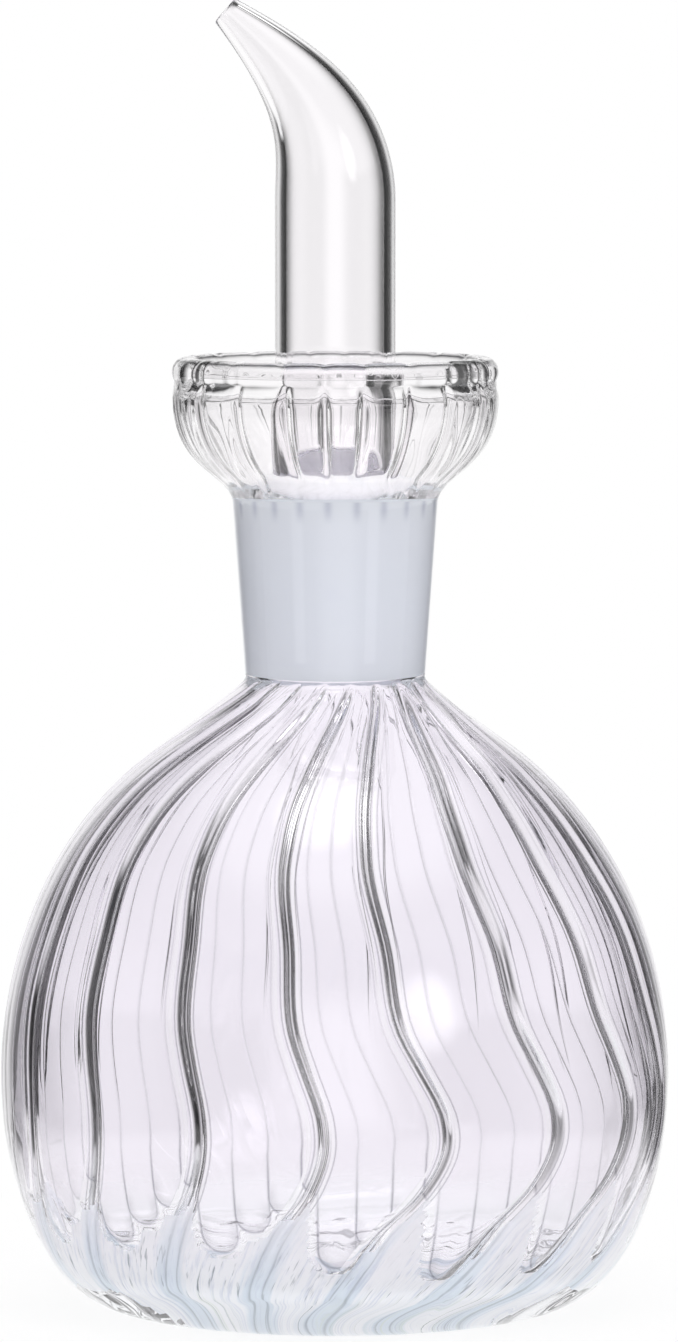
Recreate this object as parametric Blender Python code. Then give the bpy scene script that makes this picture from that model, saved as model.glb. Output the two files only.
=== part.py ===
"""Oil dispenser bottle of clear borosilicate glass, built from five sections.

The bottle is a round ribbed flask, a ground neck and a ribbed drip cup. The stopper is a hollow
ground cone and a tube that is bent and drawn out into a pouring spout. Units are metres, Z is up,
the foot stands on Z = 0, the neck's axis is the Z axis and the spout points along -X.
"""

import math

import bmesh
import bpy
from mathutils import Vector

MM = 0.001

# Flask outside
BODY_DIAMETER = 90.2 * MM
EQUATOR_HEIGHT = 31.0 * MM
FLASK_HEIGHT = 84.5 * MM
FOOT_DIAMETER = 57.0 * MM
PUSH_UP_DIAMETER = 38.0 * MM
PUSH_UP_DEPTH = 0.8 * MM

# Flask inside
BODY_WALL = 2.1 * MM
FLOOR_THICKNESS = 7.0 * MM
FLOOR_DIAMETER = 62.0 * MM

# Ribs that stand on the inner walls of the flask and of the cup, with a faint relief outside
RIB_COUNT = 18
RIB_WIDTH = 2.8 * MM
RIB_HEIGHT = 0.9 * MM
RIB_RELIEF = 0.15 * MM
FOOT_RIB_WIDTH = 5.0 * MM
FOOT_RIB_HEIGHT = 2.4 * MM
FOOT_RIB_REACH = 13.0 * MM
RIB_FADE_LENGTH = 5.5 * MM
CUP_RIB_WIDTH = 2.0 * MM
CUP_RIB_HEIGHT = 0.7 * MM
CUP_RIB_RELIEF = 0.15 * MM

# Ground joint: the cone's sizes also set the socket's bore
CONE_TOP_DIAMETER = 20.2 * MM
CONE_BOTTOM_DIAMETER = 17.7 * MM
CONE_LENGTH = 25.0 * MM
CONE_DROP = 2.7 * MM
JOINT_CLEARANCE = 0.3 * MM
CONE_WALL = 1.8 * MM
CONE_SHOULDER_HEIGHT = 1.3 * MM

# Neck
NECK_LENGTH = 23.0 * MM
NECK_BOTTOM_WALL = 3.0 * MM
NECK_TOP_WALL = 3.5 * MM

# Drip cup
CUP_DIAMETER = 43.8 * MM
CUP_WALL = 2.4 * MM
CUP_BELLY_HEIGHT = 14.5 * MM
CUP_FLOOR_RISE = 1.5 * MM
LIP_THICKNESS = 4.0 * MM
LIP_RISE = 3.3 * MM
LIP_WAVE = 0.2 * MM

# Stopper tube and spout
TUBE_DIAMETER = 16.1 * MM
TUBE_WALL = 1.5 * MM
TUBE_LENGTH = 35.0 * MM
SPOUT_REACH = 14.4 * MM
SPOUT_RISE = 24.7 * MM
MOUTH_DIAMETER = 4.3 * MM
MOUTH_WALL = 0.8 * MM
MOUTH_TILT = math.radians(49.5)

# How the ribs drift sideways up the flask: (share of its height, share of the rib pitch)
RIB_DRIFT_SHARES = (
    (0.0, -0.80),
    (0.12, -0.25),
    (0.24, 0.32),
    (0.31, 0.53),
    (0.36, 0.50),
    (0.43, 0.30),
    (0.49, 0.12),
    (0.62, 0.0),
    (0.75, -0.09),
    (0.84, 0.0),
    (0.92, 0.35),
    (1.0, 1.13),
)
FLOOR_SWIRL_SHARE = 1.2
RIB_PHASE = math.radians(1.4)
CUP_RIB_PHASE = math.radians(5.0)

# Shares that shape the outlines
DOME_SHARE = 0.972
SHOULDER_SHARE = 0.85
SHOULDER_HANDLE_SHARE = 0.75
CUP_OUTSIDE_HANDLE_SHARE = 0.30
CUP_INSIDE_RADIUS_SHARE = 0.33
CUP_INSIDE_HANDLE_SHARES = (0.24, 0.52)
SPOUT_HANDLE_SHARE = 0.75
SHOULDER_ROUND_SHARE = 0.67
SPOUT_TAPER_POWER = 1.6
WIDEST_RIB_SHARE = 0.45

# Mesh density
COLUMNS_PER_RIB = 4
COLUMNS = RIB_COUNT * COLUMNS_PER_RIB
SPOUT_COLUMNS = 36
FOOT_ROWS = 9
DOME_ROWS = 9
SHOULDER_ROWS = 5
CUP_ROWS = 7
LIP_ROWS = 8
LIP_START = math.radians(-35.0)
LIP_END = math.radians(215.0)
SPOUT_ROWS = 12
TUBE_ROWS = 2
TIP_ROWS = 3
CONE_ROWS = 2
SHARP_ANGLE = math.radians(50.0)

# Derived places and radii
BODY_RADIUS = BODY_DIAMETER / 2
CONE_BOTTOM = FLASK_HEIGHT + CONE_DROP
CONE_TOP = CONE_BOTTOM + CONE_LENGTH
CONE_SLOPE = (CONE_TOP_DIAMETER - CONE_BOTTOM_DIAMETER) / 2 / CONE_LENGTH
NECK_TOP = FLASK_HEIGHT + NECK_LENGTH
RIB_PITCH = math.tau / RIB_COUNT


def smooth_step(share):
    """The S-curve from 0 to 1 that is flat at both ends."""
    share = min(max(share, 0.0), 1.0)
    return share * share * (3 - 2 * share)


def shares_of(rows):
    """Evenly spaced shares from 0 to 1, both ends included."""
    return [row / rows for row in range(rows + 1)]


def bezier(start, start_handle, end_handle, end, share):
    """A point of the cubic curve through four outline points."""
    rest = 1 - share
    weights = (rest**3, 3 * rest**2 * share, 3 * rest * share**2, share**3)
    corners = (start, start_handle, end_handle, end)
    return tuple(sum(w * p[axis] for w, p in zip(weights, corners)) for axis in range(2))


def socket_bore_radius(height):
    """The socket's radius at a height: the cone's slope, wider by the joint's clearance."""
    return CONE_BOTTOM_DIAMETER / 2 + CONE_SLOPE * (height - CONE_BOTTOM) + JOINT_CLEARANCE


def neck_outer_radius(height):
    """The neck's outside, whose wall thickens from its bottom to its top."""
    wall = NECK_BOTTOM_WALL + (NECK_TOP_WALL - NECK_BOTTOM_WALL) * (height - FLASK_HEIGHT) / NECK_LENGTH
    return socket_bore_radius(height) + wall


def dome_outline(radius, rise, end_radius):
    """(radius, height) from above the equator up to the neck seam: an ellipse, then a hollow curve."""
    rim_turn = math.asin(SHOULDER_SHARE)
    points = []
    for share in shares_of(DOME_ROWS)[1:]:
        turn = rim_turn * share
        points.append((radius * math.cos(turn), EQUATOR_HEIGHT + rise * math.sin(turn)))
    start = points[-1]
    slope = rise * math.cos(rim_turn) / (radius * math.sin(rim_turn))
    corner_height = min(start[1] + slope * (start[0] - end_radius), FLASK_HEIGHT)
    corner = (end_radius, corner_height)
    end = (end_radius, FLASK_HEIGHT)
    start_handle = tuple(a + (c - a) * SHOULDER_HANDLE_SHARE for a, c in zip(start, corner))
    end_handle = tuple(a + (c - a) * SHOULDER_HANDLE_SHARE for a, c in zip(end, corner))
    for share in shares_of(SHOULDER_ROWS)[1:]:
        points.append(bezier(start, start_handle, end_handle, end, share))
    return points


def foot_outline(flat_radius, flat_height, radius):
    """(radius, height) from the flat's edge up to the equator, along a quarter of an ellipse."""
    points = []
    for share in shares_of(FOOT_ROWS):
        turn = math.pi / 2 * share
        out = flat_radius + (radius - flat_radius) * math.sin(turn)
        points.append((out, EQUATOR_HEIGHT - (EQUATOR_HEIGHT - flat_height) * math.cos(turn)))
    return points


def flask_outside():
    """The flask's outer outline from the foot's pushed-up middle to the neck seam."""
    rise = (FLASK_HEIGHT - EQUATOR_HEIGHT) * DOME_SHARE
    hollow = [(PUSH_UP_DIAMETER / 4, PUSH_UP_DEPTH / 2), (PUSH_UP_DIAMETER / 2, 0.0)]
    foot = foot_outline(FOOT_DIAMETER / 2, 0.0, BODY_RADIUS)
    return hollow + foot + dome_outline(BODY_RADIUS, rise, neck_outer_radius(FLASK_HEIGHT))


def flask_inside():
    """The flask's inner outline from the middle of its floor to the neck seam."""
    rise = (FLASK_HEIGHT - EQUATOR_HEIGHT) * DOME_SHARE - BODY_WALL
    foot = foot_outline(FLOOR_DIAMETER / 2, FLOOR_THICKNESS, BODY_RADIUS - BODY_WALL)
    dome = dome_outline(BODY_RADIUS - BODY_WALL, rise, socket_bore_radius(FLASK_HEIGHT))
    return [(FLOOR_DIAMETER / 4, FLOOR_THICKNESS)] + foot + dome


def rib_drift(height):
    """How far round the ribs have drifted at a height of the flask, as an angle."""
    share = height / FLASK_HEIGHT
    for (low, low_drift), (high, high_drift) in zip(RIB_DRIFT_SHARES, RIB_DRIFT_SHARES[1:]):
        if share <= high:
            step = smooth_step((share - low) / (high - low))
            return RIB_PITCH * (low_drift + (high_drift - low_drift) * step)
    return RIB_PITCH * RIB_DRIFT_SHARES[-1][1]


def rib_columns(radius, width, phase):
    """(angle, crest) for each column round a ribbed ring: a crest, its feet and the panel's middle."""
    half_turn = min(width / 2 / radius, RIB_PITCH * WIDEST_RIB_SHARE)
    steps = ((0.0, 1.0), (half_turn, 0.0), (RIB_PITCH / 2, 0.0), (RIB_PITCH - half_turn, 0.0))
    return [
        (phase + rib * RIB_PITCH + step, crest)
        for rib in range(RIB_COUNT)
        for step, crest in steps
    ]


def turned(columns, phase):
    """The columns listed from the one nearest to angle zero, where the first is at the phase."""
    offset = round(phase / (math.tau / COLUMNS)) % COLUMNS
    return columns[-offset:] + columns[:-offset] if offset else columns


def inward_normals(outline):
    """The unit normals of an outline that runs outwards and up, on the side of the axis."""
    normals = []
    for index in range(len(outline)):
        before = outline[max(index - 1, 0)]
        after = outline[min(index + 1, len(outline) - 1)]
        along = Vector((after[0] - before[0], after[1] - before[1])).normalized()
        normals.append((-along.y, along.x))
    return normals


def round_ring(radius, height, columns):
    """One plain ring of points about the Z axis."""
    turns = [math.tau * index / columns for index in range(columns)]
    return [Vector((radius * math.cos(turn), radius * math.sin(turn), height)) for turn in turns]


def ribbed_ring(point, normal, crest_offset, panel_offset, columns):
    """One ring whose crests and panels are set off the outline point along its inward normal."""
    ring = []
    for turn, crest in columns:
        offset = panel_offset + (crest_offset - panel_offset) * crest
        radius = point[0] + normal[0] * offset
        height = point[1] + normal[1] * offset
        ring.append(Vector((radius * math.cos(turn), radius * math.sin(turn), height)))
    return ring


def flask_columns(radius, height, width, swirl):
    """The columns of a flask ring, which follow the ribs as they drift, less a swirl."""
    phase = RIB_PHASE + rib_drift(height) - swirl
    return turned(rib_columns(radius, width, phase), RIB_PHASE + rib_drift(FLASK_HEIGHT))


def flask_outer_rings():
    """The flask's outer rings from the foot up, whose panels lie a little behind the ribs."""
    outline = flask_outside()
    rings = []
    for point, normal in zip(outline, inward_normals(outline)):
        radius, height = point
        fade = smooth_step((FLASK_HEIGHT - height) / RIB_FADE_LENGTH)
        relief = RIB_RELIEF * fade * smooth_step(height / RIB_FADE_LENGTH)
        columns = flask_columns(radius, height, RIB_WIDTH, 0.0)
        rings.append(ribbed_ring(point, normal, 0.0, relief, columns))
    return rings


def flask_rib_size(radius, height):
    """(height, width) of the flask's ribs: they fade at the neck and grow into the thick foot."""
    fade = smooth_step((FLASK_HEIGHT - height) / RIB_FADE_LENGTH) * smooth_step(2 * radius / FLOOR_DIAMETER)
    growth = smooth_step(1 - (height - FLOOR_THICKNESS) / FOOT_RIB_REACH)
    crest = RIB_HEIGHT + (FOOT_RIB_HEIGHT - RIB_HEIGHT) * growth
    return crest * fade, RIB_WIDTH + (FOOT_RIB_WIDTH - RIB_WIDTH) * growth


def flask_inner_rings():
    """The flask's ribbed inner rings from the floor's middle to the neck seam."""
    outline = flask_inside()
    rings = []
    for point, normal in zip(outline, inward_normals(outline)):
        radius, height = point
        crest_height, width = flask_rib_size(radius, height)
        swirl = FLOOR_SWIRL_SHARE * RIB_PITCH * (1 - smooth_step(2 * radius / FLOOR_DIAMETER))
        columns = flask_columns(radius, height, width, swirl)
        rings.append(ribbed_ring(point, normal, crest_height, 0.0, columns))
    return rings


def add_rings(mesh, rings, first_pole=None, last_pole=None):
    """Skins a list of rings. Poles close the ends, and without them the last ring meets the first."""
    loops = [[mesh.verts.new(point) for point in ring] for ring in rings]
    pairs = list(zip(loops, loops[1:]))
    if first_pole is None:
        pairs.append((loops[-1], loops[0]))
    for lower, upper in pairs:
        for index, corner in enumerate(lower):
            following = (index + 1) % len(lower)
            mesh.faces.new((corner, lower[following], upper[following], upper[index]))
    for pole, loop, facing in ((first_pole, loops[0], -1), (last_pole, loops[-1], 1)):
        if pole is None:
            continue
        tip = mesh.verts.new(pole)
        for index, corner in enumerate(loop):
            following = loop[(index + 1) % len(loop)]
            mesh.faces.new((tip, corner, following)[::facing])


def add_object(name, material, parent, height, rings, first_pole=None, last_pole=None):
    """Makes one closed, smooth object from rings in world places, standing at a height on its parent."""
    origin = Vector((0.0, 0.0, height))
    shifted = [[point - origin for point in ring] for ring in rings]
    poles = [None if pole is None else pole - origin for pole in (first_pole, last_pole)]
    shape = bmesh.new()
    add_rings(shape, shifted, *poles)
    mesh = bpy.data.meshes.new(name)
    shape.to_mesh(mesh)
    shape.free()
    mesh.shade_smooth()
    mesh.set_sharp_from_angle(angle=SHARP_ANGLE)
    mesh.materials.append(material)
    piece = bpy.data.objects.new(name, mesh)
    bpy.context.scene.collection.objects.link(piece)
    piece.parent = parent
    piece.location = origin - parent.location
    return piece


def make_flask_body(parent):
    """The blown flask: ribbed inside, faintly ribbed outside, thick in the foot."""
    outer = flask_outer_rings()
    inner = flask_inner_rings()[::-1]
    foot_middle = Vector((0.0, 0.0, PUSH_UP_DEPTH))
    floor_middle = Vector((0.0, 0.0, FLOOR_THICKNESS))
    material = clear_glass("flask_glass")
    return add_object("flask_body", material, parent, 0.0, outer + inner, foot_middle, floor_middle)


def make_neck_socket(parent):
    """The thick neck, whose tapered bore is ground to take the stopper's cone."""
    heights = (FLASK_HEIGHT, NECK_TOP)
    outer = [round_ring(neck_outer_radius(height), height, COLUMNS) for height in heights]
    inner = [round_ring(socket_bore_radius(height), height, COLUMNS) for height in heights[::-1]]
    material = ground_glass("socket_glass")
    return add_object("neck_socket", material, parent, FLASK_HEIGHT, outer + inner)


def cup_outside():
    """The cup's outer outline from the neck seam to its widest place."""
    start = (neck_outer_radius(NECK_TOP), NECK_TOP)
    end = (CUP_DIAMETER / 2, NECK_TOP + CUP_BELLY_HEIGHT)
    handle_height = NECK_TOP + CUP_BELLY_HEIGHT * CUP_OUTSIDE_HANDLE_SHARE
    handles = ((start[0], handle_height), (end[0], handle_height))
    return [bezier(start, *handles, end, share) for share in shares_of(CUP_ROWS)]


def cup_inside():
    """The cup's inner outline from the socket's mouth to its widest place."""
    mouth_height = NECK_TOP + CUP_FLOOR_RISE
    start = (socket_bore_radius(mouth_height), mouth_height)
    end = (CUP_DIAMETER / 2 - CUP_WALL, NECK_TOP + CUP_BELLY_HEIGHT)
    width, rise = end[0] - start[0], end[1] - start[1]
    low_share, high_share = CUP_INSIDE_HANDLE_SHARES
    start_handle = (start[0] + width * CUP_INSIDE_RADIUS_SHARE, start[1] + rise * low_share)
    end_handle = (end[0], start[1] + rise * high_share)
    return [bezier(start, start_handle, end_handle, end, share) for share in shares_of(CUP_ROWS)]


def cup_wall_rings(outline, crest_offset, panel_offset):
    """The rings of one side of the cup's wall, whose ribs grow out of the neck."""
    rings = []
    for point, normal, share in zip(outline, inward_normals(outline), shares_of(CUP_ROWS)):
        columns = turned(rib_columns(point[0], CUP_RIB_WIDTH, CUP_RIB_PHASE), CUP_RIB_PHASE)
        grown = smooth_step(share)
        rings.append(ribbed_ring(point, normal, crest_offset * grown, panel_offset * grown, columns))
    return rings


def lip_rings():
    """The rolled lip, a bead whose crest dips a little at each rib."""
    bead = LIP_THICKNESS / 2
    centre = (CUP_DIAMETER / 2 - bead, NECK_TOP + CUP_BELLY_HEIGHT + LIP_RISE)
    rings = []
    for share in shares_of(LIP_ROWS):
        turn = LIP_START + (LIP_END - LIP_START) * share
        radius = centre[0] + bead * math.cos(turn)
        ring = round_ring(radius, centre[1] + bead * math.sin(turn), COLUMNS)
        lift = max(math.sin(turn), 0.0) * LIP_WAVE
        for index, point in enumerate(ring):
            place = RIB_COUNT * (math.tau * index / COLUMNS - CUP_RIB_PHASE)
            point.z -= lift * (1 + math.cos(place)) / 2
        rings.append(ring)
    return rings


def make_drip_cup(parent):
    """The flared cup on the neck: ribbed inside, faintly ribbed outside, with a rolled lip."""
    outer = cup_wall_rings(cup_outside(), 0.0, CUP_RIB_RELIEF)
    inner = cup_wall_rings(cup_inside(), CUP_RIB_HEIGHT, 0.0)
    throat = round_ring(socket_bore_radius(NECK_TOP), NECK_TOP, COLUMNS)
    material = clear_glass("cup_glass")
    rings = outer + lip_rings() + inner[::-1] + [throat]
    return add_object("drip_cup", material, parent, NECK_TOP, rings)


def make_stopper_cone(parent):
    """The hollow ground cone, closed in at its top to the tube that it carries."""
    slope = [
        (CONE_BOTTOM_DIAMETER / 2 + CONE_SLOPE * CONE_LENGTH * share, CONE_BOTTOM + CONE_LENGTH * share)
        for share in shares_of(CONE_ROWS)
    ]
    seam = CONE_TOP + CONE_SHOULDER_HEIGHT
    tube = TUBE_DIAMETER / 2
    shoulder = ((tube + CONE_TOP_DIAMETER / 2) / 2, CONE_TOP + CONE_SHOULDER_HEIGHT * SHOULDER_ROUND_SHARE)
    outer = slope + [shoulder, (tube, seam)]
    hollow = [(radius - CONE_WALL, height) for radius, height in slope]
    hollow[-1] = (hollow[-1][0], CONE_TOP - CONE_WALL)
    inner = [(tube - TUBE_WALL, seam)] + hollow[::-1]
    rings = [round_ring(radius, height, COLUMNS) for radius, height in outer + inner]
    return add_object("stopper_cone", ground_glass("cone_glass"), parent, CONE_BOTTOM, rings)


def spout_stations():
    """(centre, direction, taper) along the tube: straight up, then bending over to the mouth."""
    bottom = CONE_TOP + CONE_SHOULDER_HEIGHT
    bend = bottom + TUBE_LENGTH
    start = (0.0, bend)
    end = (-SPOUT_REACH, bend + SPOUT_RISE)
    aim = (-math.sin(MOUTH_TILT), math.cos(MOUTH_TILT))
    back = SPOUT_REACH / math.sin(MOUTH_TILT)
    corner = (0.0, max(end[1] - back * aim[1], bend))
    start_handle = tuple(a + (c - a) * SPOUT_HANDLE_SHARE for a, c in zip(start, corner))
    end_handle = tuple(a + (c - a) * SPOUT_HANDLE_SHARE for a, c in zip(end, corner))
    path = [(0.0, bottom + TUBE_LENGTH * share) for share in shares_of(TUBE_ROWS)[:-1]]
    tapers = [0.0] * len(path)
    for share in shares_of(SPOUT_ROWS):
        path.append(bezier(start, start_handle, end_handle, end, share))
        tapers.append(share**SPOUT_TAPER_POWER)
    stations = []
    for index, taper in enumerate(tapers):
        before = path[max(index - 1, 0)]
        after = path[min(index + 1, len(path) - 1)]
        along = Vector((after[0] - before[0], 0.0, after[1] - before[1])).normalized()
        if index == 0:
            along = Vector((0.0, 0.0, 1.0))
        if index == len(path) - 1:
            along = Vector((aim[0], 0.0, aim[1]))
        stations.append((Vector((path[index][0], 0.0, path[index][1])), along, taper))
    return stations


def ring_across(centre, along, radius):
    """A ring of the spout, square to its centre line."""
    depth = Vector((0.0, 1.0, 0.0))
    side = depth.cross(along)
    turns = [math.tau * index / SPOUT_COLUMNS for index in range(SPOUT_COLUMNS)]
    return [centre + radius * (math.cos(turn) * side + math.sin(turn) * depth) for turn in turns]


def make_pouring_spout(parent):
    """The stopper's tube, bent over and drawn out to a small fire-polished mouth."""
    tube, mouth = TUBE_DIAMETER / 2, MOUTH_DIAMETER / 2
    bore, mouth_bore = tube - TUBE_WALL, mouth - MOUTH_WALL
    stations = spout_stations()
    outer = [ring_across(c, along, tube + (mouth - tube) * taper) for c, along, taper in stations]
    inner = [ring_across(c, along, bore + (mouth_bore - bore) * taper) for c, along, taper in stations]
    centre, along, _ = stations[-1]
    tip = []
    for share in shares_of(TIP_ROWS)[1:-1]:
        turn = math.pi * share
        radius = (mouth + mouth_bore) / 2 + MOUTH_WALL / 2 * math.cos(turn)
        tip.append(ring_across(centre + along * MOUTH_WALL / 2 * math.sin(turn), along, radius))
    bottom = CONE_TOP + CONE_SHOULDER_HEIGHT
    rings = outer + tip + inner[::-1]
    return add_object("pouring_spout", clear_glass("spout_glass"), parent, bottom, rings)


def glass(name, colour, roughness, alpha):
    """A glass material: a near-white colour with a given polish and see-through share."""
    material = bpy.data.materials.new(name)
    material.use_nodes = True
    shader = material.node_tree.nodes["Principled BSDF"]
    shader.inputs["Base Color"].default_value = (*colour, 1.0)
    shader.inputs["Roughness"].default_value = roughness
    shader.inputs["Metallic"].default_value = 0.0
    shader.inputs["Alpha"].default_value = alpha
    material.diffuse_color = (*colour, alpha)
    return material


def clear_glass(name):
    """Polished clear borosilicate glass."""
    return glass(name, (0.93, 0.95, 0.97), 0.02, 0.35)


def ground_glass(name):
    """Ground, frosted borosilicate glass."""
    return glass(name, (0.80, 0.84, 0.89), 0.55, 0.85)


def add_frame(name, height):
    """An empty on the neck's axis that carries one body of the bottle."""
    frame = bpy.data.objects.new(name, None)
    frame.location = (0.0, 0.0, height)
    bpy.context.scene.collection.objects.link(frame)
    return frame


def clear_scene():
    """Removes whatever the scene held before."""
    for piece in list(bpy.data.objects):
        bpy.data.objects.remove(piece)


def main():
    """Builds the bottle and, on its lifting axis, the stopper."""
    clear_scene()
    bottle = add_frame("bottle_frame", 0.0)
    make_flask_body(bottle)
    make_neck_socket(bottle)
    make_drip_cup(bottle)
    stopper = add_frame("stopper_frame", CONE_BOTTOM)
    make_stopper_cone(stopper)
    make_pouring_spout(stopper)


main()
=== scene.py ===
"""A blown glass oil bottle with a drip cup and a ground, hollow pouring stopper, in a plain white studio.

The bottle is one unbroken skin of clear glass, ribbed inside, and the stopper is another. The socket and
the stopper's cone are ground where they meet. Everything is in metres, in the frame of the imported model.
"""

import logging
import math
from collections.abc import Callable
from dataclasses import dataclass
from enum import Enum
from typing import Any

import bpy
import numpy as np
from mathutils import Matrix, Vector


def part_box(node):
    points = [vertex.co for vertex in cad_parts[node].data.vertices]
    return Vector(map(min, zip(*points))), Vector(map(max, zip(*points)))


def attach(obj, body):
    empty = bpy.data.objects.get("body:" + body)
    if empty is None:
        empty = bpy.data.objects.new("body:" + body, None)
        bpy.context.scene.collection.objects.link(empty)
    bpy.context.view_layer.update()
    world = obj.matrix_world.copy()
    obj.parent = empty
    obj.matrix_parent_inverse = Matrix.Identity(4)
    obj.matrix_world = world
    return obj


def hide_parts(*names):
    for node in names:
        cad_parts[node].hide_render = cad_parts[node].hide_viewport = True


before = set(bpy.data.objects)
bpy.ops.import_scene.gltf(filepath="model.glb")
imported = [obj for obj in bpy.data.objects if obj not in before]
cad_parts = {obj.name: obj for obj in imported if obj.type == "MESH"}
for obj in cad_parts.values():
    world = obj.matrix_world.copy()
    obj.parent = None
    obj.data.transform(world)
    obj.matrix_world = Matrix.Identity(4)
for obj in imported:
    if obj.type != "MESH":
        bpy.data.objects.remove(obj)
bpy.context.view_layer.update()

MM = 0.001
PHOTO_SIZE = (678, 1342)
REFRACTION = 1.48
HANDLE = 0.75
LOG = logging.getLogger("bottle")

Array = np.ndarray
Numbers = Array | float
Pair = tuple[float, float]
Colour = tuple[float, float, float, float]
Value = Any


def ease(share: Numbers) -> Numbers:
    """Runs smoothly from 0 to 1 as the share does."""
    share = np.clip(share, 0.0, 1.0)
    return share * share * (3 - 2 * share)


def bezier(corners: list[Pair], rows: int) -> Array:
    """A cubic curve through a plane.

    Args:
        corners: The start, its handle, the end's handle and the end.
        rows: How many points to give.

    Returns:
        The points, one to a row.
    """
    t = np.linspace(0.0, 1.0, rows)[:, None]
    a, b, c, d = (np.array(corner) for corner in corners)
    return (1 - t) ** 3 * a + 3 * (1 - t) ** 2 * t * b + 3 * (1 - t) * t**2 * c + t**3 * d


def rounded(start: Array, corner: Array, end: Array, rows: int) -> Array:
    """A smooth curve from one point to another that bends towards a corner.

    Args:
        start: The first point.
        corner: The corner.
        end: The last point.
        rows: How many points to give.

    Returns:
        The points, one to a row.
    """
    handles = start + (corner - start) * HANDLE, end + (corner - end) * HANDLE
    return bezier([tuple(start), *map(tuple, handles), tuple(end)], rows)


def arc(centre: Pair, radii: Pair, turns: Pair, rows: int) -> Array:
    """Points along an ellipse's arc.

    Args:
        centre: The ellipse's middle.
        radii: Its half width and half height.
        turns: Where the arc starts and ends, in degrees from the right, anticlockwise.
        rows: How many points to give.

    Returns:
        The points, one to a row.
    """
    turn = np.radians(np.linspace(*turns, rows))
    return np.stack((centre[0] + radii[0] * np.cos(turn), centre[1] + radii[1] * np.sin(turn)), 1)


def operator(operation: str, turned: bool = False) -> Callable[["Wire", Value], "Wire"]:
    """The method that an arithmetic sign calls on a wire.

    Args:
        operation: The Math node's operation.
        turned: Whether the wire stands to the right of the sign.

    Returns:
        The method.
    """

    def method(wire: "Wire", other: Value) -> "Wire":
        """Puts a Math node on the wire and a number or another wire."""
        values = (other, wire) if turned else (wire, other)
        return wire.graph.math(operation, *values)

    return method


class Wire:
    """The output of a node, with the arithmetic that formulas use."""

    def __init__(self, graph: "Graph", socket: bpy.types.NodeSocket) -> None:
        """Keeps the graph and the socket."""
        self.graph = graph
        self.socket = socket

    __add__ = __radd__ = operator("ADD")
    __mul__ = __rmul__ = operator("MULTIPLY")
    __sub__, __rsub__ = operator("SUBTRACT"), operator("SUBTRACT", True)
    __truediv__, __rtruediv__ = operator("DIVIDE"), operator("DIVIDE", True)

    def math(self, operation: str, *others: Value) -> "Wire":
        """A Math node on this wire and others."""
        return self.graph.math(operation, self, *others)

    def eased(self, low: float, high: float) -> "Wire":
        """Runs smoothly from 0 to 1 as this wire goes from one number to another."""
        ends = {"Value": self, "From Min": low, "From Max": high, "To Min": 0.0, "To Max": 1.0}
        return self.graph.add("ShaderNodeMapRange", ends, interpolation_type="SMOOTHSTEP")

    def max(self, other: Value) -> "Wire":
        """The larger of two."""
        return self.math("MAXIMUM", other)

    def min(self, other: Value) -> "Wire":
        """The smaller of two."""
        return self.math("MINIMUM", other)

    def __abs__(self) -> "Wire":
        """The size without its sign."""
        return self.math("ABSOLUTE")

    def bell(self, width: Value = 1.0) -> "Wire":
        """Falls from 1 to 0 as this wire leaves 0, by a bell of a width."""
        return self.graph.math("EXPONENT", (self / width).math("POWER", 2.0) * -1)


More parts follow.
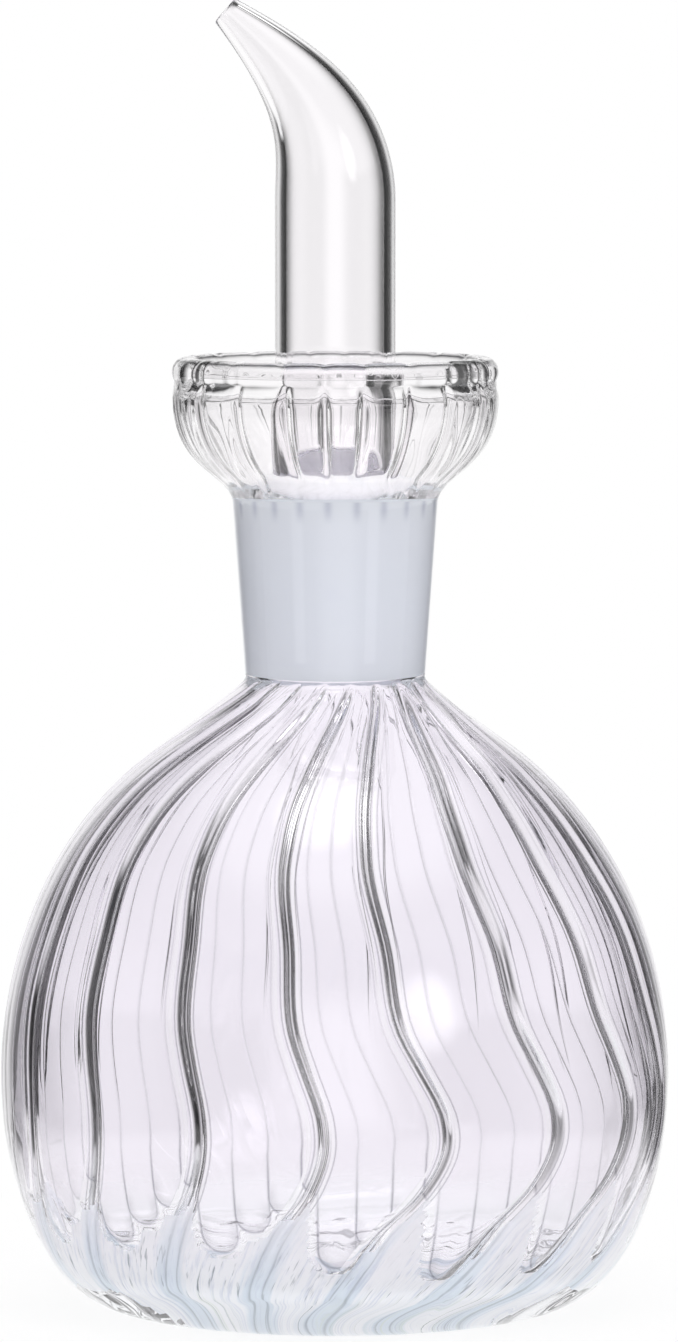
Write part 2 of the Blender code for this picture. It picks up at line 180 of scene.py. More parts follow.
class Graph:
    """A node tree that is being written."""

    def __init__(self, tree: bpy.types.NodeTree) -> None:
        """Empties the tree."""
        self.tree = tree
        tree.nodes.clear()

    def add(
        self, kind: str, values: dict[int | str, Value] | None = None, output: int | str = 0, **settings: Value
    ) -> Wire:
        """Adds a node.

        Args:
            kind: The node's type.
            values: A number, colour, vector or wire for each named or numbered input.
            output: The output that the wire comes from.
            **settings: The node's own settings, which are made first.

        Returns:
            The wire from that output. A node without outputs gives None's wire.
        """
        node = self.tree.nodes.new(kind)
        for name, setting in settings.items():
            setattr(node, name, setting)
        for name, value in (values or {}).items():
            self.feed(node.inputs[name], value)
        return Wire(self, node.outputs[output] if node.outputs else None)

    def feed(self, socket: bpy.types.NodeSocket, value: Value) -> None:
        """Links a wire to a socket, or sets the socket's own value."""
        if isinstance(value, Wire):
            self.tree.links.new(value.socket, socket)
        else:
            socket.default_value = value

    def math(self, operation: str, *values: Value) -> Wire:
        """A Math node on numbers and wires."""
        return self.add("ShaderNodeMath", dict(enumerate(values)), operation=operation)

    def split(self, vector: Wire) -> list[Wire]:
        """The three numbers of a vector."""
        node = self.add("ShaderNodeSeparateXYZ", {0: vector}).socket.node
        return [Wire(self, socket) for socket in node.outputs]

    def facts(self, *names: str, output: str = "Fac") -> list[Wire]:
        """What the mesh says of itself at the shaded point, by name."""
        return [self.add("ShaderNodeAttribute", output=output, attribute_name=name) for name in names]

    def stretched(self, vector: Wire, scale: tuple[float, float, float]) -> Wire:
        """A vector times a scale for each axis."""
        return self.add("ShaderNodeVectorMath", {0: vector, 1: scale}, operation="MULTIPLY")

    def noise(self, vector: Wire, scale: float, detail: float = 2.0, roughness: float = 0.5) -> Wire:
        """Soft noise, about 0.5 on average."""
        values = {"Vector": vector, "Scale": scale, "Detail": detail, "Roughness": roughness}
        return self.add("ShaderNodeTexNoise", values)

    def mixed(self, share: Value, first: Value, second: Value) -> Wire:
        """A colour between two."""
        node = self.tree.nodes.new("ShaderNodeMix")
        node.data_type = "RGBA"
        colours = [socket for socket in node.inputs if socket.type == "RGBA"]
        self.feed(node.inputs["Factor"], share)
        self.feed(colours[0], first)
        self.feed(colours[1], second)
        return Wire(self, next(socket for socket in node.outputs if socket.type == "RGBA"))

    @classmethod
    def material(cls, name: str) -> tuple[bpy.types.Material, "Graph"]:
        """A new material and its graph."""
        material = bpy.data.materials.new(name)
        material.use_nodes = True
        return material, cls(material.node_tree)

    def finish_glass(self, colour: Wire, roughness: Value, clearness: float, height: Wire, bump: Pair) -> None:
        """Ends the graph with glass.

        Args:
            colour: Its colour.
            roughness: Its roughness.
            clearness: The share of the light that it lets through. Cloudy glass has no shine of its own.
            height: The height that its grain is drawn by.
            bump: The grain's strength and depth.
        """
        grain = self.add("ShaderNodeBump", {"Strength": bump[0], "Distance": bump[1], "Height": height})
        values = {
            "Base Color": colour,
            "Roughness": roughness,
            "IOR": REFRACTION,
            "Transmission Weight": clearness,
            "Normal": grain,
        }
        if clearness < 0.5:
            values["Specular IOR Level"] = 0.0
        shader = self.add("ShaderNodeBsdfPrincipled", values)
        self.add("ShaderNodeOutputMaterial", {"Surface": shader})


class Slot(Enum):
    """Names for the material slots."""

    CLEAR = "clear_glass"
    GROUND = "ground_glass"


@dataclass(frozen=True)
class Lobes:
    """The pockets between the ribs: where their creases run and where their round ends lie above the foot."""

    shares: tuple[float, ...] = (0.27, 0.56, 0.83)
    ends: Pair = (-0.05, 1.12)
    low: float = 9.95 * MM
    climb: float = 9.2 * MM
    squeeze: float = 0.6
    corner: float = 2.7 * MM

    def spans(self) -> list[Pair]:
        """The middle and half the width of each pocket, in shares of a panel."""
        borders = (self.ends[0], *self.shares, self.ends[1])
        return [((low + high) / 2, (high - low) / 2) for low, high in zip(borders, borders[1:])]

    def outline(self, graph: Graph, place: Wire, lift: Wire, span: Pair) -> tuple[Wire, Wire, Wire]:
        """How a shaded point lies to one pocket.

        Args:
            graph: The material's graph.
            place: The share of the way across the panel.
            lift: How much higher than usual the panel's pockets end.
            span: The pocket's middle and half its width.

        Returns:
            How far the point is outside the pocket, how far left or right it is in it, and how far down.
        """
        length, level = graph.facts("length", "level")
        middle, half = span[0], length * span[1]
        corner = (half * 0.95).min(self.corner)
        across = (place - middle) * length
        side = abs(across) - half + corner
        below = corner + (self.low + self.climb * middle) + lift - level
        squares = [part.max(0.0).math("POWER", 2.0) for part in (side, below)]
        reach = (squares[0] + squares[1]).math("SQRT")
        inner = side.max(below).min(0.0)
        return reach + inner - corner, across / half, below


@dataclass(frozen=True)
class ClearGlass:
    """Polished clear glass: faintly lilac where it is thin and faintly green-blue in the thick foot.

    The dark lines that real glass gets from refraction alone are painted into it as painted shade, with painted
    highlights beside them, by what the mesh says of itself.
    """

    name: str = "clear_glass"
    thin_tint: Colour = (0.968, 0.946, 0.990, 1.0)
    tube_tint: Colour = (1.0, 0.990, 1.0, 1.0)
    foot_tint: Colour = (0.97, 0.98, 1.0, 1.0)
    # Painted shade and painted highlight colours: grey for drawn dark lines, white for drawn highlights, near-black for
    # rib cores and the lip line.
    painted_shade_grey: Colour = (0.15, 0.15, 0.19, 1.0)
    painted_highlight_white: Colour = (1.0, 1.0, 1.0, 1.0)
    painted_dark_shade: Colour = (0.012, 0.012, 0.014, 1.0)
    line_width: float = 0.19 * MM
    line_range: Pair = (0.32, 0.94)
    pocket_shade: float = 0.42
    crease_shade: float = 0.07
    glint_shares: tuple[float, float, float, float] = (0.835, 0.85, 0.885, 0.94)
    lip_width: float = 0.42 * MM
    twin_gap: float = 0.75 * MM
    twin_width: float = 0.12 * MM
    shade_line_gaps: Pair = (-1.15 * MM, 1.5 * MM)
    twin_strength: float = 0.75
    core_width: float = 0.20 * MM
    core_strength: float = 0.95
    tube_from: float = 104 * MM
    tube_to: float = 114 * MM
    foot_from: float = 4 * MM
    foot_to: float = 15 * MM
    cloud_depth: float = 6 * MM

    def make(self) -> bpy.types.Material:
        """Builds the material."""
        material, graph = Graph.material(self.name)
        place = graph.add("ShaderNodeTexCoord", output="Object")
        height = graph.split(place)[2]
        cloud = graph.noise(place, 90.0)
        foot = 1 - (height + (cloud - 0.5) * self.cloud_depth).eased(self.foot_from, self.foot_to)
        thin = graph.mixed(height.eased(self.tube_from, self.tube_to), self.thin_tint, self.tube_tint)
        colour = self.with_pockets(graph, graph.mixed(foot, thin, self.foot_tint))
        edge, lip = graph.facts("edge", "lip")
        # Painted shade: a dark line along the top of the cup's rolled lip.
        colour = graph.mixed(lip * edge.bell(self.lip_width), colour, self.painted_dark_shade)
        colour = self.with_ribs(graph, colour)
        ripple = graph.noise(graph.stretched(place, (1.0, 1.0, 0.15)), 160.0, 1.0)
        graph.finish_glass(colour, 0.0, 1.0, ripple, (0.05, 0.2 * MM))
        return material

    def with_pockets(self, graph: Graph, colour: Wire) -> Wire:
        """Paints the creases and the pockets' round ends as painted shade lines, with painted shade inside the ends and
        painted highlights (glints) beside them.
        """
        panel, lift, before, from_rib, rim = graph.facts("panel", "lift", "lift_before", "from_rib", "rim")
        level, side, close = graph.facts("level", "side", "close")
        lobes = Lobes()
        share = (panel.math("FRACT") - 0.5) / lobes.squeeze + 0.5
        spans = lobes.spans()
        outlines = [lobes.outline(graph, share, lift, span) for span in spans]
        outlines.append(lobes.outline(graph, share + 1.0, before, spans[-1]))
        weights = [from_rib] * len(spans) + [1 - from_rib]
        outside, line, shade = (graph.math("ADD", value, 0.0) for value in (1.0, 0.0, 0.0))
        weakest, strongest = self.line_range
        for (away, across, below), weight in zip(outlines, weights):
            outside = outside.min(away + (1 - weight) * 0.01)
            low = (below + 12 * MM).eased(0.0, 12 * MM)
            drawn = weakest + (strongest - weakest) * low
            line = line.max(away.bell(self.line_width) * weight * drawn * (0.88 - 0.12 * across))
            dim = away.eased(-1.6 * MM, 0.0) * (below + 3 * MM).eased(0.0, 3 * MM) * self.pocket_shade
            dim = dim.max(away.eased(-0.9 * MM, 0.0) * self.crease_shade)
            shade = shade.max(dim * weight * (1 - away.eased(0.0, 0.1 * MM)))
        start, full, fading, end = self.glint_shares
        glint = share.eased(start, full) * (1 - share.eased(fading, end)) * level.eased(20 * MM, 30 * MM)
        near = close * (1 - abs(side - 0.2 * MM).eased(1.0 * MM, 1.35 * MM))
        # Painted highlight: white between the pockets, in the glint band and near the ribs.
        painted_highlight_share = outside.eased(0.15 * MM, 0.5 * MM).max(glint).max(near) * rim
        colour = graph.mixed(painted_highlight_share, colour, self.painted_highlight_white)
        # Painted shade: the dark outline lines and the shade inside the pockets' ends.
        return graph.mixed(line.max(shade) * rim, colour, self.painted_shade_grey)

    def with_ribs(self, graph: Graph, colour: Wire) -> Wire:
        """Paints each rib's dark core and the thin dark lines beside it, as painted shade."""
        rim, level, side, core, close = graph.facts("rim", "level", "side", "core", "close")
        low = (1 - level.eased(22 * MM, 32 * MM)) * rim
        wide = level.eased(15 * MM, 24 * MM) * (1 - level.eased(27 * MM, 33 * MM))
        width = self.core_width * (0.6 + core) * (1 + wide * 1.2) * (1 - low * 0.3)
        core = core.max(low * 0.95) * (1 - (1 - rim) * (1 - level.eased(20 * MM, 36 * MM)))
        # Painted shade: each rib's dark core.
        centre = (side + 0.12 * MM).bell(width)
        colour = graph.mixed(centre * core * close * self.core_strength, colour, self.painted_dark_shade)
        # Painted shade: thin dark lines beside the rib.
        twin = (abs(side - 0.1 * MM) - self.twin_gap).bell(self.twin_width) * low
        for gap in self.shade_line_gaps:
            twin = twin.max((side - gap).bell(self.twin_width) * rim)
        return graph.mixed(twin * close * self.twin_strength, colour, self.painted_shade_grey)


@dataclass(frozen=True)
class FootGlass:
    """The thick foot's glass, cloudy and pale, with blue-grey bands along the ribs, fine streaks and painted shade
    lines beside each rib.
    """

    name: str = "foot_glass"
    pale: Colour = (0.985, 0.985, 1.0, 1.0)
    band: Colour = (0.76, 0.83, 0.90, 1.0)
    fibre: Colour = (0.60, 0.64, 0.76, 1.0)
    # Dark colour for the random threads and for the painted shade lines beside the ribs.
    thread_and_shade: Colour = (0.16, 0.19, 0.22, 1.0)
    olive: Colour = (0.70, 0.76, 0.62, 1.0)
    clearness: float = 0.08
    band_strength: float = 0.9
    fibre_strength: float = 0.5
    thread_strength: float = 0.85
    twin_strength: float = 0.45
    twin_gap: float = 0.9 * MM
    twin_sway: float = 0.8 * MM
    twin_width: float = 0.16 * MM

    def make(self) -> bpy.types.Material:
        """Builds the material."""
        material, graph = Graph.material(self.name)
        (flow,) = graph.facts("flow", output="Vector")
        lane, streak, edge, side, close = graph.facts("lane", "streak", "edge", "side", "close")
        strands, flakes = graph.noise(flow, 1300.0, 3.0, 0.62), graph.noise(flow, 3000.0, 2.0, 0.6)
        height = graph.split(graph.add("ShaderNodeTexCoord", output="Object"))[2]
        low = 1 - height.eased(3 * MM, 9 * MM)
        banded = (lane + (strands - 0.5) * 1.2).eased(0.25, 0.75) * self.band_strength * streak
        colour = graph.mixed(banded, self.pale, self.band)
        colour = graph.mixed(strands.eased(0.55, 0.68) * low * streak, colour, self.olive)
        fibres = graph.noise(flow, 2200.0, 3.0, 0.7).eased(0.50, 0.66)
        colour = graph.mixed(fibres * streak * self.fibre_strength, colour, self.fibre)
        threads = flakes.eased(0.58, 0.68) * edge.eased(0.6 * MM, 1.6 * MM) * (1 - lane * 0.5) * streak
        threads = threads * strands.eased(0.42, 0.58) * self.thread_strength
        # Painted shade: thin dark lines on each side of a rib.
        beside = abs(side) - self.twin_gap + (strands - 0.5) * self.twin_sway
        twin = beside.bell(self.twin_width) * streak * close * self.twin_strength
        colour = graph.mixed(threads.max(twin), colour, self.thread_and_shade)
        graph.finish_glass(colour, 0.05, self.clearness, strands + flakes * 0.4, (0.5, 0.3 * MM))
        return material


@dataclass(frozen=True)
class GroundGlass:
    """Glass ground to a fine, milky matt, with faint rings and rubbed smudges, and painted shade teeth at its top under
    the cup's ribs.
    """

    name: str = "ground_glass"
    milk: Colour = (0.83, 0.865, 0.895, 1.0)
    smudge: Colour = (0.80, 0.83, 0.88, 1.0)
    shade: Colour = (0.55, 0.58, 0.66, 1.0)
    clearness: float = 0.06
    smudge_strength: float = 0.6
    ring_strength: float = 0.35

    def make(self) -> bpy.types.Material:
        """Builds the material."""
        material, graph = Graph.material(self.name)
        place = graph.add("ShaderNodeTexCoord", output="Object")
        rings = graph.noise(graph.stretched(place, (0.02, 0.02, 1.0)), 420.0, 2.0)
        patches = graph.noise(place, 110.0, 3.0)
        rubbed = patches.eased(0.60, 0.76) * self.smudge_strength + rings.eased(0.62, 0.80) * self.ring_strength
        colour = graph.mixed(rubbed, self.milk, self.smudge)
        # Painted shade: dark teeth under each cup rib at the top of the frost.
        colour = graph.mixed(graph.facts("rim")[0], colour, self.shade)
        grain = graph.noise(place, 5200.0, 2.0)
        graph.finish_glass(colour, 0.55 + patches * 0.2, self.clearness, grain, (0.15, 0.03 * MM))
        return material


@dataclass
class Run:
    """A run of rings down the outline of the bottle's skin, with the sizes of its ribs ring by ring."""

    outline: Array
    phase: Numbers = 0.0
    bend: Numbers = 0.0
    nudges: Numbers = 0.0
    nudge_share: Numbers = 0.0
    rib_height: Numbers = 0.0
    rib_width: Numbers = 2.8 * MM
    rib_spread: Numbers = 0.65 * MM
    sunk: bool = False
    ground: Array | bool = False
    fine: bool = False
    sparse: bool = False
    streak: Numbers = 0.0
    lobed: Numbers = 0.0
    plain: Numbers = 0.0
    solid: Numbers = 0.0
    crease_height: Numbers = 0.0
    crease_spread: Numbers = 0.1 * MM
    crease_reach: float = 0.30 * MM
    # How strongly painted shade teeth are drawn on the ground bore under the cup's ribs.
    tooth: Numbers = 0.0
    outline_edge: Numbers = -1.0
    even: Numbers = 0.0

    def size(self, name: str) -> Array:
        """One of the run's sizes for each of its rings, ready to meet an array by ring, rib and column."""
        return np.broadcast_to(np.asarray(getattr(self, name), float), len(self.outline))[:, None, None].copy()


@dataclass
class RibTree:
    """The Geometry Nodes tree that raises ribs and streaks on a skin and gives it its glass."""

    name: str = "ribs_and_streaks"
    lobe_depth: float = 0.25 * MM
    inputs: tuple[tuple[str, str, Value], ...] = (
        ("Rib Jitter", "NodeSocketFloat", 0.2),
        ("Crease Jitter", "NodeSocketFloat", 0.6),
        ("Seed", "NodeSocketInt", 7),
        ("Streak Height", "NodeSocketFloat", 0.14 * MM),
        ("Streak Scale", "NodeSocketFloat", 420.0),
        ("Ripple Height", "NodeSocketFloat", 0.02 * MM),
        ("Ripple Scale", "NodeSocketFloat", 150.0),
        ("Lobe Depth", "NodeSocketFloat", lobe_depth),
    )

    def chance(self, graph: Graph, index: Wire, seed: Wire) -> Wire:
        """A random number from -0.5 to 0.5 for each whole number."""
        values = {"ID": index, "Seed": seed}
        return graph.add("FunctionNodeRandomValue", values, 1, data_type="FLOAT") - 0.5

    def make(self) -> bpy.types.NodeTree:
        """Builds the tree."""
        tree = bpy.data.node_groups.new(self.name, "GeometryNodeTree")
        graph = Graph(tree)
        tree.interface.new_socket("Geometry", in_out="INPUT", socket_type="NodeSocketGeometry")
        for name, kind, default in self.inputs:
            tree.interface.new_socket(name, in_out="INPUT", socket_type=kind).default_value = default
        for name in ("Clear Glass", "Foot Glass", "Ground Glass"):
            tree.interface.new_socket(name, in_out="INPUT", socket_type="NodeSocketMaterial")
        tree.interface.new_socket("Geometry", in_out="OUTPUT", socket_type="NodeSocketGeometry")
        source = graph.add("NodeGroupInput").socket.node
        given = {socket.name: Wire(graph, socket) for socket in source.outputs}

        def attribute(name: str, kind: str = "FLOAT") -> Wire:
            """Reads one of the skin's own attributes."""
            node = graph.add("GeometryNodeInputNamedAttribute", {"Name": name}, data_type=kind).socket.node
            return Wire(graph, next(socket for socket in node.outputs if socket.enabled))

        index, crease = attribute("rib_index", "INT"), attribute("crease_index", "INT")
        swelling = self.chance(graph, index, given["Seed"]) * given["Rib Jitter"] + 1
        crease_swelling = self.chance(graph, crease, given["Seed"]) * given["Crease Jitter"] + 1
        rib_bell, crease_bell = attribute("rib_place").bell(), attribute("crease_place").bell()
        rib = attribute("rib_height") * rib_bell * swelling + attribute("rib_sink")
        rib = rib + attribute("crease_height") * crease_bell * crease_swelling
        flow = attribute("flow", "FLOAT_VECTOR")
        streaks = (graph.noise(flow, given["Streak Scale"], 3.0, 0.55) - 0.5) * given["Streak Height"] * 2
        ripples = (graph.noise(flow, given["Ripple Scale"], 1.0) - 0.5) * given["Ripple Height"] * 2
        raised = rib + streaks * attribute("streak") + ripples * attribute("ripple")
        raised = raised + attribute("lobe") * given["Lobe Depth"]
        push = {0: attribute("push", "FLOAT_VECTOR"), "Scale": raised}
        offset = graph.add("ShaderNodeVectorMath", push, operation="SCALE")
        moved = graph.add("GeometryNodeSetPosition", {"Geometry": given["Geometry"], "Offset": offset})
        real = graph.add("GeometryNodeRealizeInstances", {"Geometry": moved})
        dressed = graph.add("GeometryNodeSetMaterial", {"Geometry": real, "Material": given["Clear Glass"]})
        for name, part in (("Foot Glass", "foot"), ("Ground Glass", "ground")):
            finish = {"Geometry": dressed, "Selection": attribute(part, "BOOLEAN"), "Material": given[name]}
            dressed = graph.add("GeometryNodeSetMaterial", finish)
        graph.add("NodeGroupOutput", {0: dressed})
        return tree


def put_attribute(mesh: bpy.types.Mesh, name: str, kind: str, domain: str, values: Array) -> None:
    """Stores numbers on a mesh's points or faces."""
    layer = mesh.attributes.new(name, kind, domain)
    layer.data.foreach_set("vector" if kind == "FLOAT_VECTOR" else "value", np.ascontiguousarray(values).ravel())


def stitched(lower: Array, upper: Array) -> list[tuple[int, ...]]:
    """The faces between two rings of points, of which one may have twice the points of the other.

    Args:
        lower: The numbers of the first ring's points, anticlockwise seen from above on an outside wall.
        upper: The numbers of the next ring's points.

    Returns:
        The faces, facing outwards.
    """
    if len(lower) == len(upper):
        return list(zip(lower.tolist(), np.roll(lower, -1).tolist(), np.roll(upper, -1).tolist(), upper.tolist()))
    if max(len(lower), len(upper)) != 2 * min(len(lower), len(upper)):
        raise ValueError(f"rings of {len(lower)} and {len(upper)} points cannot be stitched")
    flip = len(lower) > len(upper)
    few, many = (upper, lower) if flip else (lower, upper)
    faces = []
    for index, corner in enumerate(few):
        after = few[(index + 1) % len(few)]
        a, b, c = (many[(2 * index + step) % len(many)] for step in range(3))
        faces += [(corner, b, a), (corner, after, b), (after, c, b)]
    return [tuple(map(int, face[::-1] if flip else face)) for face in faces]


def skin_mesh(name: str, rings: list[Array], poles: Pair | None) -> bpy.types.Mesh:
    """Skins rings of points into one closed mesh.

    Args:
        name: The mesh's name.
        rings: The points of each ring.
        poles: The heights of the points on the axis that close the first and last ring. Without them the last
            ring meets the first.

    Returns:
        The mesh, smooth, facing outwards.
    """
    starts = np.cumsum([0, *map(len, rings)])
    numbers = [np.arange(a, b) for a, b in zip(starts, starts[1:])]
    pairs = list(zip(numbers, numbers[1:]))
    points = np.vstack(rings)
    if poles is None:
        pairs.append((numbers[-1], numbers[0]))
    faces = [face for lower, upper in pairs for face in stitched(lower, upper)]
    if poles is not None:
        points = np.vstack((points, [(0.0, 0.0, height) for height in poles]))
        first, last, tip = numbers[0].tolist(), numbers[-1].tolist(), int(starts[-1])
        faces += [(tip, b, a) for a, b in zip(first, first[1:] + first[:1])]
        faces += [(tip + 1, a, b) for a, b in zip(last, last[1:] + last[:1])]
    mesh = bpy.data.meshes.new(name)
    mesh.from_pydata(points.tolist(), [], faces)
    mesh.validate()
    mesh.shade_smooth()
    return mesh


def linked(name: str, data: bpy.types.ID) -> bpy.types.Object:
    """A new object in the scene."""
    made = bpy.data.objects.new(name, data)
    bpy.context.scene.collection.objects.link(made)
    return made


def place_piece(mesh: bpy.types.Mesh, body: str, nodes: list[str], slot: Slot) -> bpy.types.Object:
    """Puts a mesh in the scene in place of CAD nodes.

    Args:
        mesh: The finished mesh, in its place.
        body: The body that it moves with.
        nodes: The CAD nodes that it stands for.
        slot: Not used.

    Returns:
        The new object.
    """
    piece = linked(mesh.name, mesh)
    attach(piece, body)
    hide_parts(*nodes)
    mesh.calc_loop_triangles()
    LOG.info("%s: %d triangles, rides on %s", piece.name, len(mesh.loop_triangles), body)
    return piece


@dataclass
class Bottle:
    """The flask, neck and drip cup in one skin."""

    clear: bpy.types.Material
    foot: bpy.types.Material
    ground: bpy.types.Material
    body_radius: float = 44.9 * MM
    equator: float = 31.0 * MM
    flask_height: float = 84.5 * MM
    foot_radius: float = 28.5 * MM
    push_up: Pair = (19.0 * MM, 0.8 * MM)
    wall: float = 2.1 * MM
    floor_height: float = 6.2 * MM
    floor_radius: float = 31.0 * MM
    dome_share: float = 0.972
    shoulder: float = 0.85
    rib_count: int = 18
    rib_height: float = 1.2 * MM
    rib_width: float = 3.0 * MM
    rib_spread: float = 0.50 * MM
    foot_rib_height: float = 0.9 * MM
    foot_rib_width: float = 5.0 * MM
    foot_rib_spread: float = 1.3 * MM
    foot_reach: float = 16.0 * MM
    crease_height: float = 0.075 * MM
    crease_spread: float = 0.09 * MM
    crease_end: float = 27.0 * MM
    crease_strengths: tuple[float, ...] = (0.7, 0.4, *(0.3,) * 7, 0.4, 0.7, *(1.0,) * 6, 0.9)
    freeze_height: float = 26.0 * MM
    lobes: Lobes = Lobes()
    lobe_step: float = 1.6 * MM
    lobe_lifts: tuple[float, ...] = (*(0,) * 9, 0.5, 1.5, 2.0, 1.8, 0, -2.0, -1.8, -1.0, 0)
    fade: float = 5.5 * MM
    relief: float = 0.12 * MM
    phase: float = math.radians(1.4)
    cup_phase: float = math.radians(5.0)
    floor_swirl: float = 1.2
    neck_length: float = 23.0 * MM
    neck_walls: Pair = (3.0 * MM, 3.5 * MM)
    cone_bottom: float = 87.2 * MM
    cone_radius: float = 8.85 * MM
    cone_slope: float = 0.05
    clearance: float = 0.3 * MM
    cup_radius: float = 21.9 * MM
    cup_wall: float = 2.4 * MM
    belly_height: float = 14.5 * MM
    cup_floor: float = 1.5 * MM
    cup_rib_height: float = 0.7 * MM
    cup_rib_width: float = 2.6 * MM
    lip_radius: float = 2.0 * MM
    lip_rise: float = 3.3 * MM
    lip_pinch: float = 0.16 * MM
    drift: tuple[Pair, ...] = (
        *((0.0, -0.80), (0.12, -0.30), (0.18, -0.12), (0.24, -0.03), (0.31, 0.0), (0.49, 0.0)),
        *((0.62, 0.0), (0.75, -0.09), (0.84, 0.0), (0.92, 0.35), (1.0, 1.13)),
    )
    bend: tuple[Pair, ...] = (
        *((0.0, 0.0), (0.12, 0.05), (0.18, 0.10), (0.24, 0.35), (0.31, 0.53)),
        *((0.36, 0.50), (0.43, 0.30), (0.49, 0.12), (0.62, 0.0), (1.0, 0.0)),
    )
    rib_strengths: tuple[float, ...] = (
        *(0.9, 0.7, 0.6, 0.5, 0.5, 0.5, 0.5, 0.5, 0.6),
        *(0.7, 0.9, 1.0, 1.1, 0.9, 0.85, 1.3, 1.1, 1.0),
    )
    bends: tuple[float, ...] = (0.4, 0.2, *(0.1,) * 7, 0.15, 0.25, 0.35, 0.45, 0.64, 0.95, 0.92, 0.9, 0.65)
    nudges: tuple[float, ...] = (*(0,) * 11, -1.2, -0.1, -0.2, -1.8, 1.1, 2.1, 1.0)
    cup_nudges: tuple[float, ...] = (-1, *(0,) * 6, 1.5, 3, 4.4, 5.1, 5.9, 1.0, -4.1, -6.4, -7.4, -5, -3)
    # How dark each rib's painted shade core is.
    rib_cores: tuple[float, ...] = (
        *(0.4, 0.3, 0.2, 0.15, 0.1, 0.1, 0.1, 0.1, 0.15),
        *(0.3, 0.6, 0.95, 0.75, 0.6, 0.6, 1.0, 0.9, 0.6),
    )
    kept: frozenset[str] = frozenset(
        "flow rim lane edge lip streak side core close panel length level lift lift_before from_rib".split()
    )
    lane_width: float = 2.4 * MM
    drawn_reach: float = 2.2 * MM
    solid_from: float = -14.0 * MM
    coarse_columns: tuple[int, int] = (9, 7)
    sparse_columns: tuple[int, int] = (5, 3)
    rib_stations: tuple[float, ...] = (
        *(-1, -0.82, -0.66, -0.53, -0.42, -0.32, -0.21, -0.1),
        *(0, 0.1, 0.21, 0.32, 0.42, 0.53, 0.66, 0.82),
    )
    crease_stations: tuple[float, ...] = (-1, -0.4, 0, 0.4)

    @property
    def pitch(self) -> float:
        """The angle from one rib to the next."""
        return math.tau / self.rib_count

    @property
    def neck_top(self) -> float:
        """The height where the neck meets the cup."""
        return self.flask_height + self.neck_length

    def bore(self, height: Numbers) -> Numbers:
        """The socket's radius at a height."""
        return self.cone_radius + self.cone_slope * (height - self.cone_bottom) + self.clearance

    def neck_outside(self, height: Numbers) -> Numbers:
        """The neck's outer radius at a height."""
        low, high = self.neck_walls
        return self.bore(height) + low + (high - low) * (height - self.flask_height) / self.neck_length

    def eased_through(self, table: tuple[Pair, ...], height: Numbers) -> Array:
        """A smooth curve through a table of shares of the flask's height, read at heights."""
        knots = np.array(table)
        share = np.clip(np.asarray(height, float) / self.flask_height, 0.0, 1.0)
        slopes = np.gradient(knots[:, 1], knots[:, 0])
        place = np.clip(np.searchsorted(knots[:, 0], share, "right") - 1, 0, len(knots) - 2)
        (start, low), (end, high) = knots[place].T, knots[place + 1].T
        gap = end - start
        t = (share - start) / gap
        low_part = (1 + 2 * t) * (1 - t) ** 2 * low + t * (1 - t) ** 2 * gap * slopes[place]
        return low_part + t**2 * (3 - 2 * t) * high + t**2 * (t - 1) * gap * slopes[place + 1]

    def below_neck(self, height: Array, reach: float) -> Array:
        """Runs from 0 at the foot of the neck to 1 where it is farther down than the reach."""
        return ease((self.flask_height - height) / reach)

    def turned(self, height: Numbers) -> Array:
        """How far round the ribs stand at heights of the flask, without each rib's own bend."""
        return self.phase + self.pitch * self.eased_through(self.drift, height)

    def flask_ribs(self, height: Array) -> dict[str, Array]:
        """The turn, bend and nudge of the flask's ribs at heights."""
        share, bend = self.below_neck(height, 12 * MM), self.eased_through(self.bend, height)
        return {"phase": self.turned(height), "bend": bend, "nudges": np.radians(self.nudges), "nudge_share": share}

    def dome(self, radius: float, rise: float, end_radius: float, rows: tuple[int, int]) -> Array:
        """The outline from the equator up to the neck.

        Args:
            radius: The radius at the equator.
            rise: The dome's half height.
            end_radius: The radius at the neck.
            rows: The rings of the dome and of the shoulder.

        Returns:
            The outline's points, without the equator's own.
        """
        top = math.degrees(math.asin(self.shoulder))
        points = arc((0.0, self.equator), (radius, rise), (0.0, top), rows[0])
        start, turn = points[-1], math.radians(top)
        slope = rise * math.cos(turn) / (radius * math.sin(turn))
        corner = np.array((end_radius, min(start[1] + slope * (start[0] - end_radius), self.flask_height)))
        end = np.array((end_radius, self.flask_height))
        return np.vstack((points[1:], rounded(start, corner, end, rows[1])[1:]))

    def flask_outside(self) -> Run:
        """The flask's outside, from the foot's middle to the neck."""
        hollow_radius, hollow_depth = self.push_up
        hollow = np.linspace(0.02, 1.0, 8)
        hollow = np.stack((hollow * hollow_radius, hollow_depth * (1 - ease(hollow))), 1)
        flat = np.linspace((hollow_radius, 0.0), (self.foot_radius, 0.0), 5)[1:]
        middle = (self.foot_radius, self.equator)
        foot = arc(middle, (self.body_radius - self.foot_radius, self.equator), (-90.0, 0.0), 28)[1:]
        rise = (self.flask_height - self.equator) * self.dome_share
        dome = self.dome(self.body_radius, rise, self.neck_outside(self.flask_height), (26, 14))
        outline = np.vstack((hollow, flat, foot, dome))
        height = outline[:, 1]
        fading = self.below_neck(height, self.fade) * ease(height / self.fade)
        ribs = self.flask_ribs(height)
        rib = {"rib_height": self.relief * fading, "rib_width": 4.5 * MM, "rib_spread": 1.2 * MM}
        return Run(outline, **rib, **ribs, sunk=True, sparse=True, even=1 - self.below_neck(height, 9 * MM))

